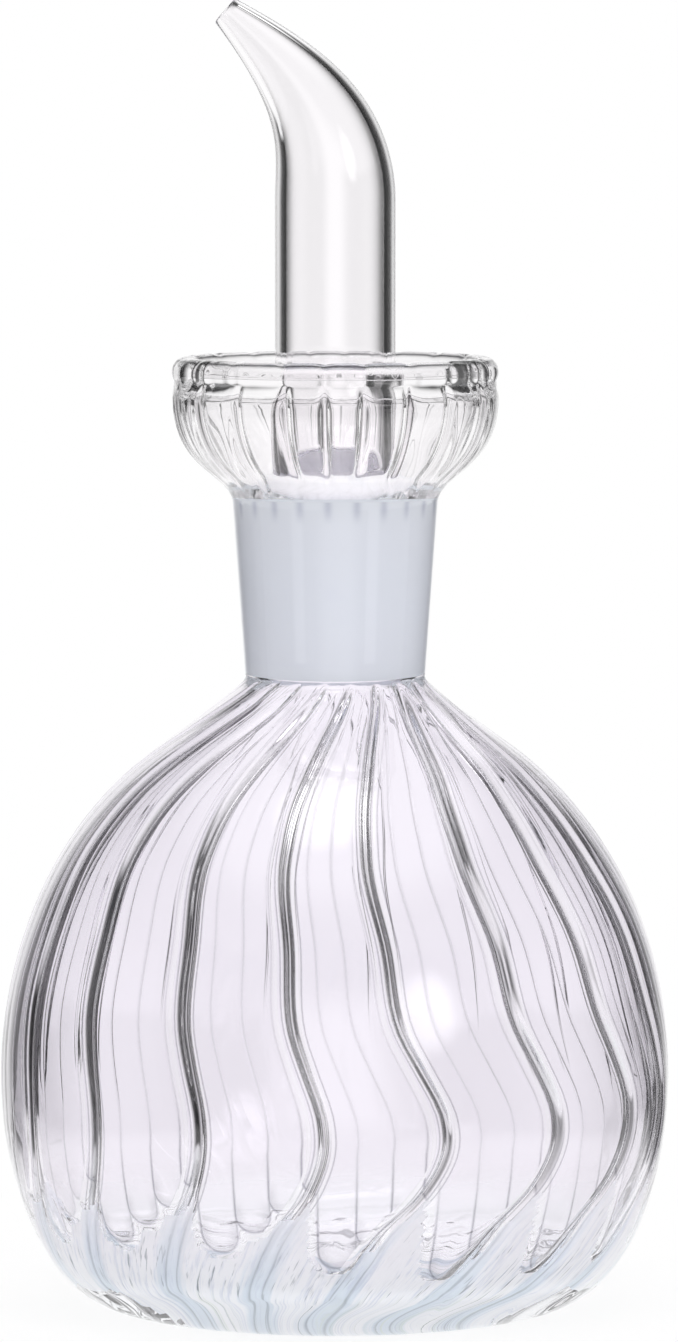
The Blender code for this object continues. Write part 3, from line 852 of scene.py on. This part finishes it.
    def neck_and_cup(self) -> list[Run]:
        """The neck's outside, the cup's two sides with its rolled lip, and the ground bore."""
        low, high, top = self.flask_height, self.neck_top, self.neck_top + self.belly_height
        heights = np.linspace(low, high, 9)[1:-1]
        turn_low = float(self.turned(low))
        share = (heights - low) / (high - low)
        neck = np.stack((self.neck_outside(heights), heights), 1)
        phase = self.cup_phase + self.pitch
        runs = [Run(neck, phase=turn_low + (phase - turn_low) * ease(share), sparse=True, even=1.0)]
        start, rise = float(self.neck_outside(high)), high + self.belly_height * 0.30
        outside = bezier([(start, high), (start, rise), (self.cup_radius, rise), (self.cup_radius, top)], 21)
        cup = {"phase": phase, "nudges": np.radians(self.cup_nudges)}
        grown = ease(np.linspace(0, 1, 21))
        rib = {"rib_height": 0.15 * MM * grown, "rib_width": 3.4 * MM, "rib_spread": 0.9 * MM}
        runs.append(Run(outside, **rib, **cup, nudge_share=grown, sunk=True, even=1 - ease(grown * 2)))
        centre = (self.cup_radius - self.lip_radius, top + self.lip_rise)
        bead = arc(centre, (self.lip_radius, self.lip_radius), (-35.0, 215.0), 18)
        rib = {"rib_height": -self.lip_pinch, "rib_width": self.cup_rib_width, "rib_spread": 0.8 * MM}
        # The lip's edge measure, which places the painted shade line near the lip's top.
        over = np.abs(np.linspace(-125.0, 125.0, 18)) * math.pi / 180 * self.lip_radius - 1.25 * MM
        runs.append(Run(bead, **rib, **cup, nudge_share=1.0, outline_edge=over))
        mouth = high + self.cup_floor
        inner_start, inner_end = (float(self.bore(mouth)), mouth), (self.cup_radius - self.cup_wall, top)
        width, depth = inner_end[0] - inner_start[0], inner_end[1] - inner_start[1]
        first = (inner_start[0] + width * 0.33, inner_start[1] + depth * 0.24)
        second = (inner_end[0], inner_start[1] + depth * 0.52)
        inside = bezier([inner_start, first, second, inner_end], 24)[::-1]
        grown = ease(np.linspace(1, 0, 24))
        rib = {"rib_height": self.cup_rib_height * grown, "rib_width": self.cup_rib_width, "rib_spread": 0.5 * MM}
        begun = ease(grown * 3)
        runs.append(Run(inside, **rib, **cup, nudge_share=begun, ground=grown < 0.02, even=1 - begun))
        upper, lower = np.linspace(mouth - 0.2 * MM, high - 2.5 * MM, 7), np.linspace(high - 3 * MM, low, 6)
        heights = np.concatenate((upper, lower))
        socket = np.stack((self.bore(heights), heights), 1)
        share = ease((heights - low) / (high - low))
        # Painted shade teeth at the top of the ground bore.
        tooth = 0.75 * ease((heights - high + 2.2 * MM) / (2.6 * MM))
        turn = turn_low + (phase - turn_low) * share
        runs.append(Run(socket, phase=turn, rib_spread=0.5 * MM, tooth=tooth, ground=True, even=1.0))
        return runs

    def flask_inside(self) -> list[Run]:
        """The flask's ribbed inside, from the neck to the floor's middle."""
        radius = self.body_radius - self.wall
        rise = (self.flask_height - self.equator) * self.dome_share - self.wall
        middle = (self.floor_radius, self.equator)
        depth = self.equator - self.floor_height
        foot = arc(middle, (radius - self.floor_radius, depth), (-90.0, 0.0), 54)[1:]
        dome = self.dome(radius, rise, self.bore(self.flask_height), (30, 14))
        out = np.concatenate((np.linspace(1.0, 0.62, 9)[1:], np.linspace(0.55, 0.02, 6)))
        floor = np.stack((out * self.floor_radius, np.full(len(out), self.floor_height)), 1)
        ribs = self.flask_ribs(floor[:, 1])
        ribs["phase"] = ribs["phase"] - self.floor_swirl * self.pitch * (1 - ease(out))
        fray = ease((out - 0.55) / 0.45)
        rib = {"rib_height": self.foot_rib_height * fray, "rib_width": self.foot_rib_width}
        rib["rib_spread"] = self.foot_rib_spread
        floor = Run(floor, **ribs, **rib, lobed=1.0, even=1.0, streak=1.0, solid=1.0)
        return [self.flask_wall(np.vstack((foot, dome))[:-1][::-1]), floor]

    def flask_wall(self, outline: Array) -> Run:
        """The flask's inside wall.

        Args:
            outline: Its rings' radii and heights.

        Returns:
            The run.
        """
        height = outline[:, 1]
        near_foot = ease(1 - (height - self.floor_height) / self.foot_reach)
        fading = self.below_neck(height, self.fade)
        thinner = 1 - 0.35 * ease((40 * MM - height) / (14 * MM))
        return Run(
            outline,
            **self.flask_ribs(height),
            rib_height=(self.rib_height * thinner * (1 - near_foot) + self.foot_rib_height * near_foot) * fading,
            rib_width=self.rib_width + (self.foot_rib_width - self.rib_width) * near_foot,
            rib_spread=self.rib_spread + (self.foot_rib_spread - self.rib_spread) * near_foot,
            fine=True,
            streak=near_foot,
            lobed=1.0,
            crease_height=self.crease_height * fading * ease((height - self.crease_end) / (7 * MM)),
            crease_spread=self.crease_spread,
            plain=ease((self.crease_end - height) / (8 * MM)),
            even=1 - self.below_neck(height, 9 * MM),
        )

    def columns(self, run: Run, arc_length: Array, half: Array, creases: Array) -> Array:
        """Where a run's columns stand, in shares of the way from one rib to the next.

        Args:
            run: The run.
            arc_length: How far it is from one rib to the next, by ring and rib.
            half: Half a rib's width, as a share of that.
            creases: Where the creases stand, by ring, rib and crease.

        Returns:
            The shares, by ring, rib and column.
        """
        if run.fine:
            reach = np.minimum(run.crease_reach / arc_length, 0.06)
            parts, start = [half * np.array(self.rib_stations)], half
            for number in range(creases.shape[2]):
                later = creases.shape[2] - number
                least = start + reach + 0.004
                most = np.maximum(1 - half - (2 * later - 1) * (reach + 0.004), least)
                place = np.clip(creases[:, :, number : number + 1], least, most)
                parts += [start, place + reach * np.array(self.crease_stations)]
                start = place + reach
            parts.append(start)
            others = np.arange(sum(part.shape[2] for part in parts[1:]))
            plain = np.concatenate((parts[0], half + (1 - 2 * half) * others / len(others)), 2)
            found = np.concatenate(parts, 2)
            parts = [found + (plain - found) * run.size("plain")]
        else:
            in_rib, in_panel = self.sparse_columns if run.sparse else self.coarse_columns
            parts = [half * (2 * np.arange(in_rib) / in_rib - 1)]
            parts.append(half + (1 - 2 * half) * np.arange(in_panel) / in_panel)
        share = np.concatenate(parts, 2)
        total = share.shape[2]
        level = np.arange(total) / total - 0.5 * len(self.rib_stations) / (2 * sum(self.coarse_columns))
        return share + (level - share) * run.size("even")

    def pockets(self, place: Array, length: Array, height: Array, lifts: Array) -> Array:
        """How far points are outside their panel's pockets, which end in round lobes above the solid foot.

        Args:
            place: The share of the way from one rib to the next, at the height where the creases stop turning.
            length: How far it is from one rib to the next.
            height: The height.
            lifts: How much higher than usual the panels' lobes end.

        Returns:
            How far each point is outside the nearest pocket, below 0 inside one.
        """
        away = np.full(np.broadcast(place, height).shape, 1.0)
        for middle, half in self.lobes.spans():
            half = half * length
            corner = np.minimum(self.lobes.corner, half * 0.95)
            side = np.abs(place - middle) * length - half + corner
            below = self.lobes.low + self.lobes.climb * middle + lifts - height + corner
            found = np.hypot(np.maximum(side, 0), np.maximum(below, 0)) + np.minimum(np.maximum(side, below), 0)
            away = np.minimum(away, found - corner)
        return away

    def stands(self, phase: Array, bend: Array, share: Array, nudges: Numbers) -> tuple[Array, Array]:
        """Where each rib stands and how far round the next one is, by ring, rib and column."""
        even = np.arange(self.rib_count) + np.array(self.bends) * bend
        turn = phase + self.pitch * even + np.asarray(nudges) * share
        turn = np.concatenate((turn, turn[:, :1] + math.tau), 1)
        return turn[:, :-1, None], np.diff(turn, axis=1)[:, :, None]

    def hidden(self, turn: Array, height: Array) -> Array:
        """How far ribs of the back fade out near the foot, where they would cross the front's pockets."""
        inner = np.maximum(ease((0.9 - np.abs(np.cos(turn))) / 0.3), ease((32 * MM - height) / (6 * MM)))
        return ease(np.sin(turn) / 0.4) * inner * ease((50 * MM - height) / (26 * MM))

    def by_rib(self, values: tuple[float, ...], share: Array) -> Array:
        """Each rib's own number, at the points that are nearest to it."""
        own = np.array(values)[None, :, None]
        return np.where(share < 0.5, own, np.roll(own, -1, 1))

    def rings(self, run: Run, normal: Array) -> dict[str, Array]:
        """Works out every point of a run and what the tree needs there.

        Args:
            run: The run.
            normal: The outline's outward normal at each of its rings.

        Returns:
            Arrays by name, each by ring and by point.
        """
        radius, height = run.outline[:, :1, None], run.outline[:, 1:, None]
        ribs, free = np.arange(self.rib_count)[None, :, None], height > self.freeze_height
        names = ("phase", "bend", "nudge_share")
        start, width = self.stands(*(run.size(name)[:, :, 0] for name in names), run.nudges)
        stop = self.flask_ribs(np.array([self.freeze_height]))
        held_start, held_width = self.stands(*(np.reshape(stop[name], (1, 1)) for name in names), run.nudges)
        arc_length = width * np.maximum(radius, 0.5 * MM)
        half = np.minimum(run.size("rib_width") / 2 / arc_length, 0.22 if run.fine else 0.36)
        shares = np.array(self.lobes.shares)
        sliding = (held_start + shares * held_width - start) / width
        creases = np.where(free, shares + 0 * sliding, sliding)
        share = self.columns(run, arc_length, half, creases)
        turn = start + share * width
        cosine, sine, flat = np.cos(turn), np.sin(turn), 0 * turn

        lifts = np.array(self.lobe_lifts)[None, :, None] * MM
        lifts_before = np.roll(lifts, 1, 1)
        across = np.where(free, share, (turn - held_start) / held_width)
        own = self.pockets(across, held_width * radius, height, lifts)
        before_start = np.concatenate((held_start[:, -1:] - math.tau, held_start[:, :-1]), 1)
        before_width = np.roll(held_width, 1, 1)
        before = np.where(free, share + 1, (turn - before_start) / before_width)
        other = self.pockets(before, before_width * radius, height, lifts_before)
        from_rib = ease(share / half)
        edge = own * from_rib + other * (1 - from_rib)
        if np.ndim(run.outline_edge):
            edge = run.size("outline_edge")

        front, behind = ease((0.25 - sine) / 0.4), self.hidden(turn, height) * run.fine
        floor_lobe = 0.5 + (front - 0.5) * ease(radius / self.floor_radius)
        lobe = (ease(edge / self.lobe_step) * front if run.fine else floor_lobe) * run.size("lobed")
        nearest = np.abs(share[..., None] - creases[:, :, None, :]).argmin(3)
        gone = ease(1 - (creases - 1 + half + 0.1) / 0.1)
        crease, left = (np.take_along_axis(values, nearest, 2) for values in (creases, gone))
        strength = np.array(self.crease_strengths)[None, :, None] * run.fine
        # rim weights the painted shade lines and painted highlights on the front of the flask's inside; tooth adds
        # painted shade teeth on the ground bore.
        rim = front * strength * self.below_neck(height, 20 * MM) * run.fine
        rim[:, 0, 0] = rim[:, -1, -1] = 0.0
        side = np.where(share < 0.5, share, share - 1) * arc_length
        close = ease((np.minimum(self.drawn_reach, arc_length * 0.3) - np.abs(side)) / (0.5 * MM))
        strong = 1 + (self.by_rib(self.rib_strengths, share) - 1) * run.fine
        tooth = np.exp(-((side / run.size("rib_spread")) ** 2)) * run.size("tooth")
        # Weight of each rib's painted shade core.
        core = self.by_rib(self.rib_cores, share) * run.fine * ease((80 * MM - height) / (8 * MM)) * (1 - behind)
        rib_height = run.size("rib_height") * strong * (1 - behind)
        straight = self.pitch * (ribs + share)
        low_wall = np.maximum(lobe, ease((11 * MM - height) / (4 * MM)) * front) * run.fine
        across_normal, up_normal = normal[:, 0, None, None], normal[:, 1, None, None]
        around = self.foot_radius
        found = {
            "points": np.stack((radius * cosine, radius * sine, height + flat), 3),
            "push": np.stack((across_normal * cosine, across_normal * sine, up_normal + flat), 3),
            "flow": np.stack((around * np.cos(straight), around * np.sin(straight), height * 0.1 + flat), 3),
            "rib_place": side / (run.size("rib_spread") * strong),
            "rib_height": rib_height,
            "rib_sink": -rib_height * run.sunk,
            "rib_index": (ribs + (share > 0.5)) % self.rib_count,
            "crease_place": (share - crease) * arc_length / run.size("crease_spread"),
            "crease_height": run.size("crease_height") * left * strength,
            "crease_index": nearest + ribs * 7 + 100,
            "streak": run.size("streak") * front,
            "ripple": ease(height / (3 * MM)),
            "lobe": lobe,
            "matt": run.size("ground"),
            "solid": low_wall + run.size("solid") * (radius * sine < self.solid_from),
            "rim": np.maximum(rim, tooth),
            "edge": edge,
            "lip": float(np.ndim(run.outline_edge) > 0),
            "panel": ribs + np.clip(0.5 + (across - 0.5) * self.lobes.squeeze, 0.001, 0.999),
            "length": held_width * radius,
            "level": height,
            "lift": lifts,
            "lift_before": lifts_before,
            "from_rib": from_rib,
            "lane": np.exp(-((side / self.lane_width) ** 2)) * (run.size("lobed") > 0),
            "side": side,
            "core": core,
            "close": close,
        }
        whole = {name: np.broadcast_to(values, turn.shape + np.shape(values)[3:]) for name, values in found.items()}
        return {name: values.reshape(len(turn), -1, *values.shape[3:]) for name, values in whole.items()}

    def build(self) -> bpy.types.Object:
        """Makes the bottle."""
        low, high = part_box("flask_body")
        self.body_radius = min(high.x, high.y, -low.x, -low.y) - 0.04 * MM
        runs = [self.flask_outside(), *self.neck_and_cup(), *self.flask_inside()]
        outline = np.vstack([run.outline for run in runs])
        along = np.gradient(outline, axis=0)
        along /= np.linalg.norm(along, axis=1)[:, None]
        normals = np.split(np.stack((along[:, 1], -along[:, 0]), 1), np.cumsum([len(run.outline) for run in runs])[:-1])
        parts = [self.rings(run, normal) for run, normal in zip(runs, normals)]
        rings = [ring for part in parts for ring in part["points"]]
        mesh = skin_mesh("skin", rings, (self.push_up[1], self.floor_height + RibTree().lobe_depth / 2))
        kinds = dict.fromkeys(("push", "flow"), "FLOAT_VECTOR") | dict.fromkeys(("rib_index", "crease_index"), "INT")
        for name in parts[0]:
            if name == "points":
                continue
            kind = kinds.get(name, "FLOAT")
            width = 3 if kind == "FLOAT_VECTOR" else 1
            values = np.vstack([part[name].reshape(-1, width) for part in parts] + [np.zeros((2, width))])
            put_attribute(mesh, name, kind, "POINT", values.astype(np.int32 if kind == "INT" else np.float32))
        corners, starts = np.zeros(len(mesh.loops), np.int32), np.zeros(len(mesh.polygons), np.int32)
        mesh.loops.foreach_get("vertex_index", corners)
        mesh.polygons.foreach_get("loop_start", starts)
        for name, measure, poles in (("foot", "solid", 1.0), ("ground", "matt", 0.0)):
            values = np.concatenate([part[measure].ravel() for part in parts] + [[poles, poles]])
            put_attribute(mesh, name, "BOOLEAN", "FACE", np.minimum.reduceat(values[corners], starts) > 0.5)
        LOG.info("bottle skin: %d rings", len(rings))
        return place_piece(self.raised(mesh), "bottle", ["flask_body", "neck_socket", "drip_cup"], Slot.CLEAR)

    def raised(self, mesh: bpy.types.Mesh) -> bpy.types.Mesh:
        """Runs the rib tree on a skin and returns the finished mesh."""
        made = {layer.name for layer in mesh.attributes if not layer.is_required and layer.name != "sharp_face"}
        holder = linked("skin", mesh)
        tree = RibTree().make()
        modifier = holder.modifiers.new("ribs", "NODES")
        modifier.node_group = tree
        names = {item.name: item.identifier for item in tree.interface.items_tree if item.in_out == "INPUT"}
        for name, material in (("Clear Glass", self.clear), ("Foot Glass", self.foot), ("Ground Glass", self.ground)):
            modifier[names[name]] = material
        graph = bpy.context.evaluated_depsgraph_get()
        finished = bpy.data.meshes.new_from_object(holder.evaluated_get(graph), depsgraph=graph)
        holder.modifiers.clear()
        bpy.data.objects.remove(holder)
        bpy.data.meshes.remove(mesh)
        for name in [layer.name for layer in finished.attributes if layer.name in made - self.kept]:
            finished.attributes.remove(finished.attributes[name])
        finished.name = "glass_bottle"
        return finished


@dataclass
class Stopper:
    """The hollow ground cone, its tube and its bent pouring spout in one skin."""

    clear: bpy.types.Material
    ground: bpy.types.Material
    cone_bottom: float = 87.2 * MM
    cone_length: float = 25.0 * MM
    cone_radii: Pair = (8.85 * MM, 10.1 * MM)
    cone_wall: float = 1.8 * MM
    shoulder: float = 1.3 * MM
    tube_radius: float = 8.05 * MM
    tube_wall: float = 1.5 * MM
    tube_length: float = 35.0 * MM
    reach: float = 14.4 * MM
    rise: float = 24.66 * MM
    mouth_radius: float = 2.15 * MM
    mouth_wall: float = 0.8 * MM
    mouth_tilt: float = math.radians(49.5)
    taper_power: float = 1.6
    columns: int = 128
    straight_rows: int = 12
    bend_rows: int = 56
    rim_round: float = 0.5 * MM
    base_round: float = 0.4 * MM
    crown_drop: float = 0.3 * MM
    hollow_drop: float = 0.6 * MM
    matt_crown_rows: int = 6

    def stations(self) -> tuple[Array, Array, Array]:
        """The tube's centre line.

        Returns:
            The centres, the directions and how far the tube has narrowed, from the seam to the mouth.
        """
        bottom = self.cone_bottom + self.cone_length + self.shoulder
        bend = bottom + self.tube_length
        aim = np.array((-math.sin(self.mouth_tilt), math.cos(self.mouth_tilt)))
        start, end = np.array((0.0, bend)), np.array((-self.reach, bend + self.rise))
        corner = np.array((0.0, max(end[1] - self.reach / math.sin(self.mouth_tilt) * aim[1], bend)))
        curve = rounded(start, corner, end, self.bend_rows)
        straight = np.linspace((0.0, bottom), (0.0, bend), self.straight_rows + 1)[:-1]
        path = np.vstack((straight, curve))
        narrowing = np.linspace(0, 1, self.bend_rows) ** self.taper_power
        taper = np.concatenate((np.zeros(self.straight_rows), narrowing))
        along = np.gradient(path, axis=0)
        along[0], along[-1] = (0.0, 1.0), aim
        along /= np.linalg.norm(along, axis=1)[:, None]
        return path, along, taper

    def build(self) -> bpy.types.Object:
        """Makes the stopper."""
        path, along, taper = self.stations()
        outer = self.tube_radius + (self.mouth_radius - self.tube_radius) * taper
        inner_start, inner_end = self.tube_radius - self.tube_wall, self.mouth_radius - self.mouth_wall
        inner = inner_start + (inner_end - inner_start) * taper
        bottom, top = self.cone_bottom, self.cone_bottom + self.cone_length
        seam, edge = top + self.shoulder, top - self.crown_drop
        low, high = self.cone_radii
        turned = self.rim_round
        round_rim = arc((low - turned, bottom + turned), (turned, turned), (-90.0, 0.0), 5)
        cone = np.linspace((low, bottom + turned + 0.1 * MM), (high, edge), 14)
        crown_end = (self.tube_radius, seam)
        crown_handles = (high, seam - self.crown_drop), (self.tube_radius, top + 0.2 * MM)
        crown = bezier([(high, edge), *crown_handles, crown_end], 10)[1:-1]
        hollow_top = (high - self.cone_wall, top - self.cone_wall)
        roof = top - self.hollow_drop
        hollow = bezier([(inner_start, seam), (inner_start, roof), (hollow_top[0], roof), hollow_top], 8)[1:]
        turned, shaft_radius = self.base_round, low - self.cone_wall
        shaft = np.linspace(hollow_top, (shaft_radius, bottom + turned), 8)[1:]
        base = arc((shaft_radius + turned, bottom + turned), (turned, turned), (180.0, 270.0), 5)[1:]
        turn = np.linspace(0, math.tau, self.columns, endpoint=False)
        upright = np.vstack((round_rim, cone, crown))
        below = np.vstack((hollow, shaft, base))
        rings = [self.upright_ring(point, turn) for point in upright]
        rings += [self.ring(c, a, r, turn) for c, a, r in zip(path, along, outer)]
        centre, aim = path[-1], along[-1]
        middle, bead = (self.mouth_radius + inner_end) / 2, self.mouth_wall / 2
        for angle in np.linspace(0, math.pi, 9)[1:-1]:
            rings.append(self.ring(centre + aim * bead * math.sin(angle), aim, middle + bead * math.cos(angle), turn))
        rings += [self.ring(c, a, r, turn) for c, a, r in zip(path[::-1], along[::-1], inner[::-1])]
        rings += [self.upright_ring(point, turn) for point in below]
        mesh = skin_mesh("glass_stopper", rings, None)
        mesh.materials.append(self.clear)
        mesh.materials.append(self.ground)
        matt = np.zeros(len(rings), int)
        matt[len(round_rim) - 1 : len(round_rim) + len(cone) + self.matt_crown_rows] = 1
        mesh.polygons.foreach_set("material_index", np.repeat(matt, self.columns))
        return place_piece(mesh, "stopper", ["stopper_cone", "pouring_spout"], Slot.CLEAR)

    def upright_ring(self, point: Array, turn: Array) -> Array:
        """A level ring about the axis."""
        return np.stack((point[0] * np.cos(turn), point[0] * np.sin(turn), np.full(len(turn), point[1])), 1)

    def ring(self, centre: Array, along: Array, radius: float, turn: Array) -> Array:
        """A ring square to the tube's centre line."""
        side = np.array((along[1], 0.0, -along[0]))
        middle = np.array((centre[0], 0.0, centre[1]))
        return middle + radius * (np.outer(np.cos(turn), side) + np.outer(np.sin(turn), (0.0, 1.0, 0.0)))


@dataclass(frozen=True)
class Softbox:
    """A soft light in the studio's walls: where it hangs, how wide it is and how bright."""

    azimuth: float
    elevation: float
    spread: float
    strength: float

    def direction(self) -> tuple[float, float, float]:
        """The way to it from the bottle."""
        turn, lift = math.radians(self.azimuth), math.radians(self.elevation)
        return (math.sin(turn) * math.cos(lift), -math.cos(turn) * math.cos(lift), math.sin(lift))


@dataclass
class Studio:
    """A plain white studio whose walls carry dark flags, which draw the glass's edges, and soft lights."""

    left_edge: Pair = (-37.0, -11.0)
    right_edge: Pair = (6.0, 30.0)
    panel_top: Pair = (16.0, 30.0)
    window_edge: Pair = (35.0, 41.0)
    window_top: Pair = (-12.0, -9.0)
    roof_edge: Pair = (42.0, 60.0)
    ground_edge: Pair = (-16.0, -11.0)
    side_reach: Pair = (0.6, 0.8)
    quarter: float = 45.0
    key_turn: float = 15.0
    level: float = 1.0
    side_light: float = 0.3
    flag_grey: float = 0.03
    seen_paper: Pair = (0.86, 1.0)
    lit_paper: float = 0.9
    ambient: float = 0.70
    frontal: float = 0.56
    overhead: float = 0.45
    floor_radius: float = 0.22
    paper_reach: Pair = (0.03, 0.11)
    glass_reach: Pair = (0.3, 0.5)
    softboxes: tuple[Softbox, ...] = (
        Softbox(36.0, 18.0, 12.0, 3.0),
        Softbox(-30.0, 82.0, 18.0, 3.0),
        Softbox(160.0, 40.0, 14.0, 2.0),
    )

    def light_world(self) -> None:
        """Builds the world."""
        world = bpy.data.worlds.new("studio")
        bpy.context.scene.world = world
        world.use_nodes = True
        graph = Graph(world.node_tree)
        way = graph.add("ShaderNodeTexCoord", output="Generated")
        x, y, z = graph.split(way)
        rad = math.radians
        turn = x.math("ARCTAN2", y).math("WRAP", rad(self.quarter), rad(-self.quarter))
        lift = z.math("ARCSINE")
        panel = turn.eased(*map(rad, self.left_edge)) * (1 - turn.eased(*map(rad, self.right_edge)))
        sideways = abs(x).eased(*self.side_reach)
        panel = panel * (1 - sideways * (1 - self.side_light))
        window = abs(turn).eased(*map(rad, self.window_edge)) * (1 - lift.eased(*map(rad, self.window_top)))
        panel = panel * (1 - lift.eased(*map(rad, self.panel_top)))
        roof, ground = lift.eased(*map(rad, self.roof_edge)), 1 - lift.eased(*map(rad, self.ground_edge))
        open_wall = panel.max(window).max(roof).max(ground)
        glow = open_wall * (self.level - self.flag_grey) + self.flag_grey
        for box in self.softboxes:
            near = graph.add("ShaderNodeVectorMath", {0: way, 1: box.direction()}, "Value", operation="DOT_PRODUCT")
            glow = glow + near.eased(math.cos(rad(box.spread)), 1.0) * box.strength
        path = graph.add("ShaderNodeLightPath").socket.node
        camera, scattered = (Wire(graph, path.outputs[name]) for name in ("Is Camera Ray", "Diffuse Depth"))
        scattered = scattered.min(1.0)
        key = x * math.sin(rad(self.key_turn)) - y * math.cos(rad(self.key_turn))
        soft = self.ambient + self.frontal * key
        soft = soft + self.overhead * z.eased(0.3, 0.9)
        seen = scattered * soft + (1 - scattered) * glow
        strength = camera + (1 - camera) * seen
        background = graph.add("ShaderNodeBackground", {"Color": (1.0, 1.0, 1.0, 1.0), "Strength": strength})
        graph.add("ShaderNodeOutputWorld", {"Surface": background})

    def lay_floor(self) -> bpy.types.Object:
        """Makes the floor."""
        turn = np.linspace(0, math.tau, 96, endpoint=False)
        mesh = bpy.data.meshes.new("floor")
        points = [(self.floor_radius * math.cos(t), self.floor_radius * math.sin(t), -0.05 * MM) for t in turn]
        mesh.from_pydata(points, [], [list(range(len(points)))])
        floor = linked("floor", mesh)
        material, graph = Graph.material("floor_paper")
        place = graph.add("ShaderNodeTexCoord", output="Object")
        reach = graph.add("ShaderNodeVectorMath", {0: place}, "Value", operation="LENGTH")
        path = graph.add("ShaderNodeLightPath").socket.node
        camera = Wire(graph, path.outputs["Is Camera Ray"])
        paper = {"Base Color": (0.95, 0.95, 0.95, 1.0), "Roughness": 0.9, "Specular IOR Level": 0.0}
        matt = graph.add("ShaderNodeBsdfPrincipled", paper)
        white = graph.add("ShaderNodeEmission", {"Color": (1.0, 1.0, 1.0, 1.0), "Strength": 1.0})
        near, far = self.seen_paper
        share = camera * (near + (far - near) * reach.eased(*self.paper_reach)) + (1 - camera) * self.lit_paper
        paper_light = graph.add("ShaderNodeMixShader", {0: share, 1: matt, 2: white})
        gone = (reach / self.floor_radius).eased(*self.glass_reach)
        clear = graph.add("ShaderNodeBsdfTransparent")
        whole = graph.add("ShaderNodeMixShader", {0: gone * (1 - camera), 1: paper_light, 2: clear})
        graph.add("ShaderNodeOutputMaterial", {"Surface": whole})
        mesh.materials.append(material)
        return floor


@dataclass
class Viewpoint:
    """The photograph's camera: level with the spout's top and a little over a metre away."""

    distance: float = 1.10
    height: float = 0.175
    aim: tuple[float, float, float] = (0.0005, 0.0, 0.0852)
    pixel: float = 0.1339 * MM

    def place(self) -> bpy.types.Object:
        """Makes the scene's camera."""
        data = bpy.data.cameras.new("camera")
        camera = linked("camera", data)
        spot = Vector((self.aim[0], -self.distance, self.height))
        sight = Vector(self.aim) - spot
        camera.location = spot
        camera.rotation_euler = sight.to_track_quat("-Z", "Y").to_euler()
        data.sensor_width = 36.0
        data.lens = data.sensor_width * sight.length / (max(PHOTO_SIZE) * self.pixel)
        data.clip_start, data.clip_end = 0.01, 50.0
        bpy.context.scene.camera = camera
        return camera


def main() -> None:
    """Builds the studio and the glass."""
    logging.basicConfig(level=logging.INFO, format="%(name)s: %(message)s")
    scene = bpy.context.scene
    scene.view_settings.view_transform = "Standard"
    scene.cycles.max_bounces = 40
    scene.cycles.transmission_bounces = 32
    scene.cycles.glossy_bounces = 32
    scene.cycles.diffuse_bounces = 12
    scene.cycles.blur_glossy = 0.0
    studio = Studio()
    studio.light_world()
    studio.lay_floor()
    Viewpoint().place()
    clear, foot, ground = ClearGlass().make(), FootGlass().make(), GroundGlass().make()
    Bottle(clear, foot, ground).build()
    Stopper(clear, GroundGlass("ground_cone", milk=(0.99, 0.99, 1.0, 1.0), clearness=0.1).make()).build()
    bpy.context.view_layer.update()


if __name__ == "__main__":
    main()
